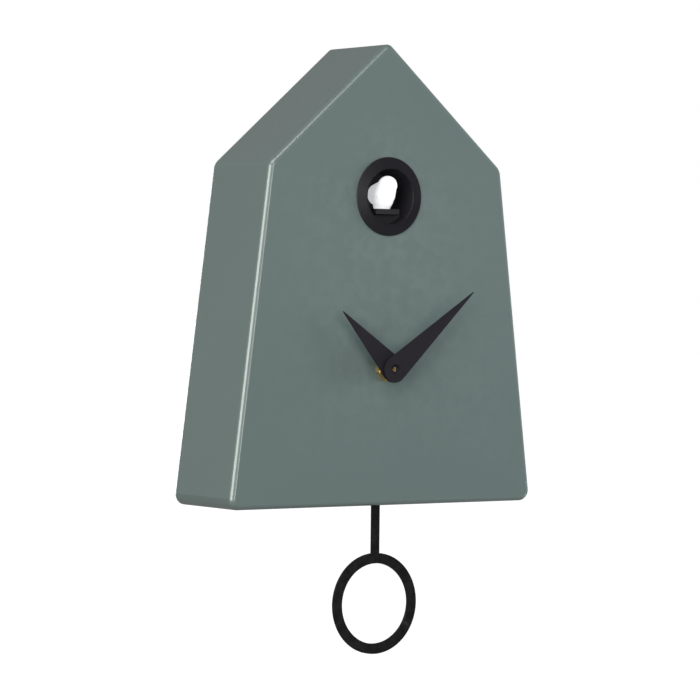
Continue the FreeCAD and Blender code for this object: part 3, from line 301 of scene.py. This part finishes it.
def makeFinish(name, colour, rough=(0.35, 0.45), metallic=0.0, specular=0.5,
               grain=900, wave=120, waveShare=0.4, bump=0.02, bumpSize=0.0002,
               tint=0.15, tintScale=20, rub=0.0, rubColour=(200, 200, 200), dusty=0.05,
               stretch=(1, 1, 1), centre=(0, 0, 0), rings=0, coat=0.0, coatRough=0.2, coatIor=1.5,
               weave=None, subsurface=0.0, glow=0.0):
    finish = bpy.data.materials.new(name)
    finish.use_nodes = True
    tree = finish.node_tree
    shader = tree.nodes["Principled BSDF"]
    where = addNode(tree, "ShaderNodeTexCoord")
    mapping = addNode(tree, "ShaderNodeMapping")
    tree.links.new(where.outputs["Object"], mapping.inputs["Vector"])
    mapping.inputs["Location"].default_value = [-value for value in centre]
    squeezed = addNode(tree, "ShaderNodeVectorMath", operation="MULTIPLY")
    tree.links.new(mapping.outputs[0], squeezed.inputs[0])
    squeezed.inputs[1].default_value = stretch
    place = mapping.outputs[0]

    def group(tree, source, **values):
        item = addNode(tree, "ShaderNodeGroup", node_tree=source)
        for key, value in values.items():
            item.inputs[key.replace("_", " ")].default_value = value
        tree.links.new(place, item.inputs["Place"])
        return item

    clouds = group(tree, cloudyTint, Scale=tintScale, Amount=tint, Colour=linear(*colour))
    skin = group(tree, fineGrain, Grain=grain, Wave=wave, Wave_share=waveShare,
                 Rough_low=rough[0], Rough_high=rough[1])
    tree.links.new(squeezed.outputs[0], skin.inputs["Place"])
    shown = clouds.outputs["Colour"]
    height = skin.outputs["Height"]
    if weave:
        shown, height = weave(tree, place, shown, height)
    if rings:  # marks of a lathe round the piece's own centre
        waves = addNode(tree, "ShaderNodeTexWave", wave_type="RINGS", rings_direction="Y")
        waves.inputs["Scale"].default_value = rings
        waves.inputs["Distortion"].default_value = 0.4
        tree.links.new(place, waves.inputs["Vector"])
        height = mathNode(tree, "ADD", height, mathNode(tree, "MULTIPLY", waves.outputs["Fac"], 0.6))
    if rub:
        worn = group(tree, edgeRub, Amount=rub)
        shown = mixColour(tree, worn.outputs["Mask"], shown, linear(*rubColour))
    if dusty:
        settled = group(tree, dust, Amount=dusty)
        shown = mixColour(tree, settled.outputs["Mask"], shown, linear(214, 210, 203))
    tree.links.new(shown, shader.inputs["Base Color"])
    tree.links.new(skin.outputs["Roughness"], shader.inputs["Roughness"])
    relief = addNode(tree, "ShaderNodeBump")
    relief.inputs["Strength"].default_value = bump
    relief.inputs["Distance"].default_value = bumpSize
    tree.links.new(height, relief.inputs["Height"])
    tree.links.new(relief.outputs[0], shader.inputs["Normal"])
    shader.inputs["Metallic"].default_value = metallic
    shader.inputs["Specular IOR Level"].default_value = specular
    shader.inputs["Coat Weight"].default_value = coat
    shader.inputs["Coat Roughness"].default_value = coatRough
    shader.inputs["Coat IOR"].default_value = coatIor
    if glow:  # painted light: the surface glows so that parts in shade, such as the bird's tail deep in its tube, read as brightly lit
        tree.links.new(shown, shader.inputs["Emission Color"])
        shader.inputs["Emission Strength"].default_value = glow
    if subsurface:
        shader.inputs["Subsurface Weight"].default_value = subsurface
        shader.inputs["Subsurface Radius"].default_value = (0.003, 0.003, 0.003)
        shader.inputs["Subsurface Scale"].default_value = 1.0
    return finish


def boardTracks(tree, place, shown, height):  # printed tracks on a circuit board
    bricks = addNode(tree, "ShaderNodeTexBrick")
    bricks.inputs["Scale"].default_value = 210.0
    bricks.inputs["Mortar Size"].default_value = 0.06
    bricks.inputs["Color1"].default_value = (0, 0, 0, 1)
    bricks.inputs["Color2"].default_value = (0, 0, 0, 1)
    bricks.inputs["Mortar"].default_value = (1, 1, 1, 1)
    turned = addNode(tree, "ShaderNodeMapping")
    turned.inputs["Rotation"].default_value = (pi / 2, 0, 0)
    tree.links.new(place, turned.inputs["Vector"])
    tree.links.new(turned.outputs[0], bricks.inputs["Vector"])
    lit = mixColour(tree, bricks.outputs["Color"], shown, linear(70, 128, 84))
    return lit, mathNode(tree, "ADD", height, mathNode(tree, "MULTIPLY", bricks.outputs["Fac"], 0.8))


def windings(tree, place, shown, height):  # turns of fine wire
    waves = addNode(tree, "ShaderNodeTexWave", wave_type="BANDS", bands_direction="DIAGONAL")
    waves.inputs["Scale"].default_value = 700.0
    tree.links.new(place, waves.inputs["Vector"])
    dark = mixColour(tree, waves.outputs["Fac"], linear(96, 44, 22), shown)
    return dark, mathNode(tree, "ADD", height, waves.outputs["Fac"])


nutCentre = spot(0, 0, 88.5)
finishes = {
    "case_lacquer": makeFinish("caseLacquer", (92, 107, 105), rough=(0.36, 0.44), grain=1100, wave=240,
                               bump=0.04, bumpSize=0.00005, tint=0.08, tintScale=9, rub=0.10,
                               rubColour=(150, 162, 160), dusty=0.05, coat=1.0, coatRough=0.12, coatIor=1.6),
    "bezel_dark": makeFinish("bezelSatin", (22, 20, 25), specular=0.3, rough=(0.34, 0.44), grain=2400,
                             bump=0.08, bumpSize=0.00003, tint=0.08, tintScale=60, rub=0.08,
                             rubColour=(90, 88, 98), dusty=0.02, coat=0.1, coatRough=0.2),
    "hand_dark": makeFinish("handAnodised", (33, 31, 36), specular=0.15, rough=(0.38, 0.5), grain=3000,
                            bump=0.08, bumpSize=0.00002, tint=0.05, tintScale=80, rub=0.05,
                            rubColour=(80, 78, 84), dusty=0.01, stretch=(1, 1, 0.12), coat=0.15),
    "pendulum_dark": makeFinish("pendulumCoat", (17, 16, 17), specular=0.15, rough=(0.45, 0.55), grain=2600,
                                bump=0.12, bumpSize=0.00003, tint=0.12, tintScale=50, rub=0.15,
                                rubColour=(90, 88, 92)),
    # the bird's glow is painted light: it stands in for front light that the tube keeps off the bird
    "bird_white": makeFinish("birdWhite", (196, 197, 199), rough=(0.28, 0.36), grain=1500, bump=0.03,
                             bumpSize=0.00004, tint=0.03, tintScale=90, dusty=0.03, subsurface=0.08, coat=0.3,
                             coatRough=0.15, glow=0.95),
    "brass": makeFinish("turnedBrass", (246, 200, 112), rough=(0.26, 0.38), metallic=1.0, grain=2600,
                        rings=1800, centre=nutCentre, bump=0.06, bumpSize=0.00003, tint=0.2, tintScale=150,
                        dusty=0.0),
    "cover_plastic": makeFinish("coverGrain", (38, 38, 40), rough=(0.5, 0.6), grain=1700, bump=0.35,
                                bumpSize=0.00008, tint=0.15, tintScale=14, rub=0.2, rubColour=(84, 84, 86),
                                dusty=0.08),
    "works_plastic": makeFinish("worksMoulding", (34, 34, 37), rough=(0.42, 0.55), grain=1500, bump=0.2,
                                bumpSize=0.00005, tint=0.15, tintScale=40, dusty=0.06),
    "gear_plastic": makeFinish("acetalWhite", (226, 222, 210), rough=(0.3, 0.4), grain=1800, bump=0.06,
                               bumpSize=0.00004, tint=0.06, tintScale=120, subsurface=0.05),
    "zinc_steel": makeFinish("zincPlate", (190, 192, 196), rough=(0.26, 0.4), metallic=1.0, grain=2200,
                             stretch=(1, 1, 0.1), bump=0.08, bumpSize=0.00003, tint=0.3, tintScale=90,
                             dusty=0.03),
    "magnet_metal": makeFinish("nickelPlate", (196, 194, 190), rough=(0.14, 0.24), metallic=1.0, grain=2000,
                               bump=0.04, bumpSize=0.00002, tint=0.15, tintScale=120, dusty=0.02),
    "coil_copper": makeFinish("copperWinding", (184, 96, 52), rough=(0.25, 0.35), metallic=1.0, bump=0.5,
                              bumpSize=0.0002, weave=windings, dusty=0.0),
    "board_green": makeFinish("boardMask", (22, 82, 48), rough=(0.25, 0.35), grain=2000, bump=0.15,
                              bumpSize=0.00005, weave=boardTracks, dusty=0.03),
    "cell_wrap": makeFinish("cellWrap", (44, 50, 60), rough=(0.22, 0.3), grain=2200, bump=0.03,
                            bumpSize=0.00003, tint=0.2, tintScale=60, coat=0.4),
    "cone_paper": makeFinish("conePaper", (30, 30, 32), rough=(0.7, 0.85), grain=1300, bump=0.5,
                             bumpSize=0.0001, tint=0.3, tintScale=150),
    "rubber_black": makeFinish("washerRubber", (26, 26, 27), rough=(0.6, 0.75), grain=1700, bump=0.25,
                               bumpSize=0.00005, dusty=0.08),
}

for subpart in record["subparts"]:
    shown = nodes[subpart["node"]]
    shown.data.materials.clear()
    shown.data.materials.append(finishes[subpart["material_slot"]])
print("finishes ready:", len(finishes))


def fitted(piece, slotName, body, *replaced):
    piece.data.materials.clear()
    piece.data.materials.append(finishes[slotName])
    if replaced:
        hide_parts(*replaced)
    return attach(piece, body)


house = {"footHalf": 120, "shoulderHalf": 92, "shoulderHigh": 220, "topHigh": 300, "deep": 66,
         "footRound": 7, "shoulderRound": 9, "gableRound": 5, "frontRound": 4, "rearRound": 0.8,
         "sideWall": 9, "frontWall": 8, "rim": 3, "rebate": 4.5,
         "tubeHole": 19.9, "tubeHigh": 200, "bushingHole": 4.15, "bushingHigh": 88.5,
         "slotHalf": 9.5, "slotFront": 8.5, "slotBack": 13.5}


def houseOutline(inset):  # foot half width, shoulder half width and height, and top, all inside by inset
    lean = (house["footHalf"] - house["shoulderHalf"]) / house["shoulderHigh"]
    rise = (house["topHigh"] - house["shoulderHigh"]) / house["shoulderHalf"]
    sideAtFoot = house["footHalf"] - inset * sqrt(1 + lean ** 2)
    top = house["topHigh"] - inset * sqrt(1 + rise ** 2)
    shoulderHigh = (top - rise * sideAtFoot) / (1 - rise * lean)
    return sideAtFoot - lean * inset, sideAtFoot - lean * shoulderHigh, shoulderHigh, top


def houseBlock(name, inset, front, back):
    foot, shoulder, shoulderHigh, top = houseOutline(inset)
    middle = (front + back) / 2
    bpy.ops.mesh.primitive_cube_add(size=1, location=spot(0, middle, (inset + shoulderHigh) / 2),
                                    scale=(foot / 500, (back - front) / 1000,
                                           (shoulderHigh - inset) / 1000))
    block = started(name)
    level = spot(0, 0, shoulderHigh).z
    pickPoints(block, lambda place: place.z > level - 1e-5)
    bpy.ops.transform.resize(value=(shoulder / foot, 1, 1), center_override=spot(0, middle, shoulderHigh))
    pickEdges(block, lambda a, b: min(a.z, b.z) > level - 1e-5 and abs(a.x - b.x) > 0.01)
    bpy.ops.mesh.subdivide(number_cuts=1)
    pickPoints(block, lambda place: place.z > level - 1e-5 and abs(place.x) < 1e-4)
    bpy.ops.transform.translate(value=(0, 0, (top - shoulderHigh) / 1000))
    bpy.ops.object.mode_set(mode="OBJECT")
    return block


def roundCorner(block, x, high, radius, angle):  # an edge from front to back whose faces meet at angle
    corner = spot(x, 0, high)

    def here(place):
        return abs(abs(place.x) - corner.x) < 1e-5 and abs(place.z - corner.z) < 1e-5

    pickEdges(block, lambda a, b: here(a) and here(b) and abs(a.x - b.x) < 1e-5)
    arc = (1 - 0.5 / (1 + sin(angle / 2))) ** 2  # keeps the bevel round where the faces aren't square
    bpy.ops.mesh.bevel(offset=radius / 1000 / tan(angle / 2), offset_type="OFFSET", segments=10, profile=arc,
                       affect="EDGES")


def makeCase():
    lean = atan((house["footHalf"] - house["shoulderHalf"]) / house["shoulderHigh"])
    pitch = atan((house["topHigh"] - house["shoulderHigh"]) / house["shoulderHalf"])
    block = houseBlock("caseShell", 0, 0, house["deep"])
    roundCorner(block, house["footHalf"], 0, house["footRound"], pi / 2 - lean)
    roundCorner(block, house["shoulderHalf"], house["shoulderHigh"], house["shoulderRound"],
                pi / 2 + lean + pitch)
    roundCorner(block, 0, house["topHigh"], house["gableRound"], pi - 2 * pitch)
    pickEdges(block, lambda a, b: max(a.y, b.y) < frontY + 1e-5)
    bpy.ops.mesh.bevel(offset=house["frontRound"] / 1000, offset_type="OFFSET", segments=10, profile=0.5,
                       affect="EDGES")
    pickEdges(block, lambda a, b: min(a.y, b.y) > rearY - 1e-5)
    bpy.ops.mesh.bevel(offset=house["rearRound"] / 1000, offset_type="OFFSET", segments=3, profile=0.5,
                       affect="EDGES")
    bpy.ops.object.mode_set(mode="OBJECT")
    sillFront = house["deep"] - house["rebate"]
    carved(block, houseBlock("rebateTool", house["rim"], sillFront, house["deep"] + 10))
    carved(block, houseBlock("hollowTool", house["sideWall"], house["frontWall"], house["deep"] + 10))
    carved(block, disc("tubeTool", spot(0, 4, house["tubeHigh"]), house["tubeHole"], 30, 128))
    carved(block, disc("bushingTool", spot(0, 4, house["bushingHigh"]), house["bushingHole"], 30, 48))
    slotMiddle = (house["slotFront"] + house["slotBack"]) / 2
    slotDeep = house["slotBack"] - house["slotFront"]
    bpy.ops.mesh.primitive_cube_add(size=1, location=spot(0, slotMiddle, 4),
                                    scale=(house["slotHalf"] / 500, slotDeep / 1000, 0.03))
    carved(block, started("slotTool"))
    tidied(block)
    softened(block, 0, angle=40)
    return fitted(block, "case_lacquer", "case", "case_shell")


makeCase()
print("case made")


bezel = {"high": 200, "flange": 25.5, "opening": 18.1, "tube": 19.7, "lip": 2.4, "lipFlat": 0.8, "edge": 0.8,
         "tubeEnd": 22}


def makeBezel():
    rings = [(bezel["opening"], -bezel["lip"]), (bezel["opening"] + bezel["lipFlat"], -bezel["lip"]),
             (bezel["flange"], -bezel["edge"]), (bezel["flange"], 0), (bezel["tube"], 0),
             (bezel["tube"], bezel["tubeEnd"]), (bezel["opening"], bezel["tubeEnd"])]
    made = turnedPiece("birdBezel", bezel["high"], rings, 160)
    softened(made, 0.3, 4, angle=12)
    return fitted(made, "bezel_dark", "case", "bird_bezel")


makeBezel()
print("bezel made")


bird = {"shelf": 192, "head": (0, 1.4, 207.2, 6.3, 6.3, 6.3), "nape": (0, 3.6, 204.6, 6.9, 7.0, 6.8),
        "breast": (0, 5.2, 201.5, 7.5, 7.4, 7.4), "belly": (0, 6.6, 198.2, 7.0, 7.2, 6.9),
        "tail": (0, 13.4, 201.5, 5.6, 7.0, 7.0), "rump": (0, 9.4, 202.0, 6.6, 7.4, 7.6),
        "base": (0, 7.4, 194, 5.8, 5.8, 4.2), "voxel": 0.28, "smooth": 44}


def makeBird():
    lumps = []
    for key in ("head", "nape", "breast", "belly", "tail", "rump", "base"):
        x, back, high, wide, deep, tall = bird[key]
        bpy.ops.mesh.primitive_uv_sphere_add(segments=48, ring_count=32, radius=1,
                                             location=spot(x, back, high),
                                             scale=(wide / 1000, deep / 1000, tall / 1000))
        lumps.append(started(key))
    only(lumps[0])
    for lump in lumps:
        lump.select_set(True)
    bpy.ops.object.join()
    body = started("birdBody")
    applied(body, "REMESH", mode="VOXEL", voxel_size=bird["voxel"] / 1000)
    applied(body, "SMOOTH", factor=0.5, iterations=bird["smooth"])
    only(body)
    bpy.ops.object.mode_set(mode="EDIT")
    bpy.ops.mesh.select_all(action="SELECT")
    bpy.ops.mesh.bisect(plane_co=spot(0, 0, bird["shelf"] + 0.02), plane_no=(0, 0, 1), clear_inner=True,
                        use_fill=True)
    bpy.ops.object.mode_set(mode="OBJECT")
    tidied(body)
    only(body)
    bpy.ops.object.shade_smooth_by_angle(angle=radians(50))
    return fitted(body, "bird_white", "carriage", "bird")


makeBird()
print("bird made")


hands = {"minute": {"front": -10, "long": 80, "taper": 83, "turn": 51.1, "eye": 3.2, "body": "minute"},
         "hour": {"front": -7.5, "long": 54.5, "taper": 56.6, "turn": 313, "eye": 2.5, "body": "hour"},
         "hub": 8.6, "thick": 0.6, "high": 88.5, "colletRadius": 4.6, "colletThick": 1.2}


def makeHand(key):
    size = hands[key]
    hub = hands["hub"]
    centre = spot(0, size["front"], hands["high"])
    bpy.ops.mesh.primitive_circle_add(vertices=96, radius=hub / 1000, location=centre,
                                      rotation=(pi / 2, 0, 0))
    made = started(key + "Hand")
    touch = hub * hub / size["taper"]
    halfWide = sqrt(hub * hub - touch * touch)
    pickPoints(made, lambda place: place.z > centre.z + touch / 1000 + 1e-6)
    bpy.ops.mesh.delete(type="VERT")
    bpy.ops.object.mode_set(mode="OBJECT")
    level = max(point.co.z for point in made.data.vertices)
    pickPoints(made, lambda place: place.z > level - 1e-6)
    bpy.ops.mesh.edge_face_add()
    cutWide = sqrt((hub / 1000) ** 2 - (level - centre.z) ** 2)
    bpy.ops.transform.resize(value=(halfWide / 1000 / cutWide, 1, 1),
                             center_override=(centre.x, centre.y, level))
    bpy.ops.transform.translate(value=(0, 0, touch / 1000 - (level - centre.z)))
    bpy.ops.mesh.extrude_region_move()
    tipWide = halfWide * (size["taper"] - size["long"]) / (size["taper"] - touch)
    bpy.ops.transform.resize(value=(tipWide / halfWide, 1, 1), center_override=(centre.x, centre.y, level))
    bpy.ops.transform.translate(value=(0, 0, (size["long"] - touch) / 1000))
    pickPoints(made, lambda place: place.z < centre.z + touch / 1000 + 1e-6)
    bpy.ops.mesh.edge_face_add()
    bpy.ops.mesh.select_all(action="SELECT")
    bpy.ops.mesh.dissolve_limited(angle_limit=radians(0.5))
    bpy.ops.mesh.select_all(action="SELECT")
    bpy.ops.mesh.extrude_region_move()
    bpy.ops.transform.translate(value=(0, hands["thick"] / 1000, 0))
    bpy.ops.object.mode_set(mode="OBJECT")
    tidied(made)
    carved(made, disc(key + "Eye", centre, size["eye"], 6, 64))
    softened(made, 0.12, 2, angle=40)
    only(made)
    turn = Matrix.Rotation(radians(size["turn"]), 4, "Y")
    made.data.transform(Matrix.Translation(centre) @ turn @ Matrix.Translation(-centre))
    return fitted(made, "hand_dark", size["body"], key + "_hand")


def makeCollet(key, bore, recess):
    size = hands[key]
    front = size["front"] + hands["thick"]
    back = front + hands["colletThick"]
    rings = [(bore, front + recess), (bore, back), (hands["colletRadius"], back),
             (hands["colletRadius"], front)]
    if recess:
        rings += [(size["eye"], front), (size["eye"], front + recess)]
    made = turnedPiece(key + "Collet", hands["high"], rings, 72)
    softened(made, 0.12, 2, angle=40)
    return fitted(made, "hand_dark", size["body"], key + "_hand_collet")


makeHand("minute")
makeHand("hour")
makeCollet("minute", 1.55, 1.1)
makeCollet("hour", 2.5, 0)
print("hands made")


bushing = {"high": 88.5, "radius": 4, "root": 3.62, "pitch": 0.75, "turns": 18, "front": -5.4, "bore": 2.55,
           "flange": 6, "seat": 10.5, "flangeThick": 1, "crest": 0.45, "groove": 0.95}


def makeBushing():
    front, pitch = bushing["front"], bushing["pitch"]
    rings = [(bushing["bore"], front), (bushing["root"] - 0.1, front)]
    for turn in range(bushing["turns"]):
        rings += [(bushing["radius"], front + pitch * (turn + bushing["crest"])),
                  (bushing["root"], front + pitch * (turn + bushing["groove"]))]
    rings += [(bushing["root"], bushing["seat"]), (bushing["flange"], bushing["seat"]),
              (bushing["flange"], bushing["seat"] + bushing["flangeThick"]),
              (bushing["bore"], bushing["seat"] + bushing["flangeThick"])]
    made = turnedPiece("threadedBushing", bushing["high"], rings, 72)
    softened(made, 0.04, 2, angle=30)
    return fitted(made, "brass", "case", "threaded_bushing")


knob = {"high": 76.5, "stem": 1.5, "stemFront": 11.5, "front": 59.2, "back": 65.2, "radius": 8, "edge": 0.5,
        "sides": 96, "groove": 0.955, "dish": 5.6, "dishFloor": 5, "dishDeep": 0.7}


def makeKnob():
    rings = [(knob["stem"], knob["stemFront"]), (knob["stem"], knob["front"]),
             (knob["radius"] - knob["edge"], knob["front"]), (knob["radius"], knob["front"] + knob["edge"]),
             (knob["radius"], knob["back"] - knob["edge"]), (knob["radius"] - knob["edge"], knob["back"]),
             (knob["dish"], knob["back"]), (knob["dishFloor"], knob["back"] - knob["dishDeep"])]
    made = turnedPiece("settingKnob", knob["high"], rings, knob["sides"], closed=False)
    middle = spot(0, 0, knob["high"])
    step = 2 * pi / knob["sides"]

    def inGroove(place):
        across, up = place.x - middle.x, place.z - middle.z
        onRim = sqrt(across ** 2 + up ** 2) > knob["radius"] / 1000 - 1e-5
        return onRim and round(atan2(up, across) / step) % 2

    pickPoints(made, inGroove)
    bpy.ops.transform.resize(value=(knob["groove"], 1, knob["groove"]), center_override=middle)
    bpy.ops.object.mode_set(mode="OBJECT")
    softened(made, 0.1, 2, angle=20)
    return fitted(made, "works_plastic", "setting", "setting_knob")


makeBushing()
makeKnob()
print("bushing and knob made")


def refinedCopy(nodeName, name, slotName, body, width=0.2, angle=35):
    source = nodes[nodeName]
    made = source.copy()
    made.data = source.data.copy()
    made.parent = None
    for key in list(made.keys()):
        del made[key]
    made.name = name
    bpy.context.scene.collection.objects.link(made)
    if made.data.has_custom_normals:
        only(made)
        bpy.ops.mesh.customdata_custom_splitnormals_clear()
    tidied(made)
    only(made)
    bpy.ops.object.mode_set(mode="EDIT")
    bpy.ops.mesh.select_all(action="SELECT")
    bpy.ops.mesh.dissolve_limited(angle_limit=radians(1.5))
    bpy.ops.object.mode_set(mode="OBJECT")
    softened(made, width, 2, angle)
    return fitted(made, slotName, body, nodeName)


arbor = {"tip": 1.3, "narrow": 0.6}
minuteArbor = refinedCopy("minute_arbor", "minuteArbor", "brass", "minute", 0.05)
pickPoints(minuteArbor, lambda place: place.y < spot(0, hands["minute"]["front"] + 0.5, 0).y)
bpy.ops.transform.resize(value=(arbor["narrow"], 1, arbor["narrow"]),
                         center_override=spot(0, 0, hands["high"]))
bpy.ops.transform.translate(value=(0, arbor["tip"] / 1000, 0))
bpy.ops.object.mode_set(mode="OBJECT")
refinedCopy("pendulum", "pendulumRing", "pendulum_dark", "pendulum", 0.2)
refinedCopy("bird_carriage", "birdShelf", "works_plastic", "carriage", 0.2)
refinedCopy("opening_ledge", "openingLedge", "works_plastic", "case", 0.15)
refinedCopy("hex_nut", "brassNut", "brass", "case", 0.15)
refinedCopy("wall_hanger", "wallHanger", "zinc_steel", "case", 0.15)
refinedCopy("battery_door", "batteryDoor", "cover_plastic", "door", 0.2)
refinedCopy("back_cover", "backCover", "cover_plastic", "case", 0.2)
refinedCopy("back_cover_screws", "coverScrews", "zinc_steel", "case", 0.08)
refinedCopy("hanger_screws", "hangerScrews", "zinc_steel", "case", 0.08)
refinedCopy("switch_slider", "switchSlider", "works_plastic", "switch", 0.15)
print("copies made")


view = {"place": (-1.24795, -1.80859, -0.10163), "turn": -34.9689, "down": 1.1183, "roll": 0.6329,
        "lens": 170.36, "sensor": 36}
bpy.ops.object.camera_add(location=view["place"])
camera = bpy.context.object
camera.name = "camera"
camera.data.lens = view["lens"]
camera.data.sensor_width = view["sensor"]
camera.data.clip_start = 0.05
camera.data.clip_end = 60
aim = (Matrix.Rotation(radians(view["turn"]), 4, "Z") @ Matrix.Rotation(radians(90 - view["down"]), 4, "X")
       @ Matrix.Rotation(radians(view["roll"]), 4, "Z"))
camera.rotation_euler = aim.to_euler()
bpy.context.scene.camera = camera

studio = {  # bearing is to the left of straight ahead, seen from the clock; power is in watts
    "leftBox": {"bearing": 64, "height": 0.0, "away": 2.6, "size": (1.8, 2.8), "power": 94,
                "colour": (1, 1, 0.95)},
    "gapBox": {"bearing": 24, "height": 0.3, "away": 3.2, "size": (1.3, 2.4), "power": 8,
               "colour": (1, 1, 1)},
    "frontStrip": {"bearing": 2, "height": 0.0, "away": 3.0, "size": (0.55, 2.8), "power": 25,
                   "colour": (1, 1, 1)},
    "rightBox": {"bearing": -80, "height": 0.0, "away": 1.7, "size": (0.5, 0.8), "power": 46,
                 "colour": (0.97, 1, 1)},
    "topBox": {"bearing": 40, "height": 2.0, "away": 1.6, "size": (1.6, 1.2), "power": 25,
               "colour": (1, 0.99, 0.97)},
    "backBox": {"bearing": 180, "height": 0.0, "away": 2.4, "size": (0.6, 0.6), "power": 14,
                "colour": (1, 1, 1)},
}
target = Vector((0, frontY, -0.1))
for name, light in studio.items():
    bearing = radians(light["bearing"])
    place = target + Vector((-sin(bearing) * light["away"], -cos(bearing) * light["away"], light["height"]))
    bpy.ops.object.light_add(type="AREA", location=place)
    lamp = bpy.context.object
    lamp.name = name
    lamp.data.shape = "RECTANGLE"
    lamp.data.size, lamp.data.size_y = light["size"]
    lamp.data.energy = light["power"]
    lamp.data.color = light["colour"]
    lamp.visible_glossy = name != "rightBox"  # that one fills the face but doesn't show in the lacquer
    lamp.rotation_euler = (target - place).to_track_quat("-Z", "Y").to_euler()

world = bpy.data.worlds.new("studioAir")
bpy.context.scene.world = world
world.use_nodes = True
air = world.node_tree
backdrop = air.nodes["Background"]
backdrop.inputs["Color"].default_value = (1, 1, 1, 1)
rayKind = addNode(air, "ShaderNodeLightPath")
glow = spread(air, rayKind.outputs["Is Camera Ray"], 0.0, 1.0, 0.22, 1.0)
air.links.new(glow, backdrop.inputs["Strength"])

floorFinish = bpy.data.materials.new("paleFloor")
floorFinish.use_nodes = True
floorTree = floorFinish.node_tree
floorShader = floorTree.nodes["Principled BSDF"]
floorPlace = addNode(floorTree, "ShaderNodeTexCoord")
paperNoise = noiseNode(floorTree, floorPlace.outputs["Object"], 30.0, 4.0)
floorTree.links.new(mixColour(floorTree, paperNoise, (0.19, 0.19, 0.19, 1), (0.22, 0.22, 0.22, 1)),
                    floorShader.inputs["Base Color"])
floorShader.inputs["Roughness"].default_value = 0.9
floorShader.inputs["Emission Color"].default_value = (1, 1, 1, 1)
floorRay = addNode(floorTree, "ShaderNodeLightPath")
floorTree.links.new(floorRay.outputs["Is Camera Ray"], floorShader.inputs["Emission Strength"])
bpy.ops.mesh.primitive_plane_add(size=40, location=(0, 0, cadBounds[0].z - 0.35))
floor = started("floor")
floor.data.materials.append(floorFinish)

bpy.context.scene.view_settings.view_transform = "Standard"
bpy.context.scene.view_settings.look = "None"
print("camera, lights and floor ready")
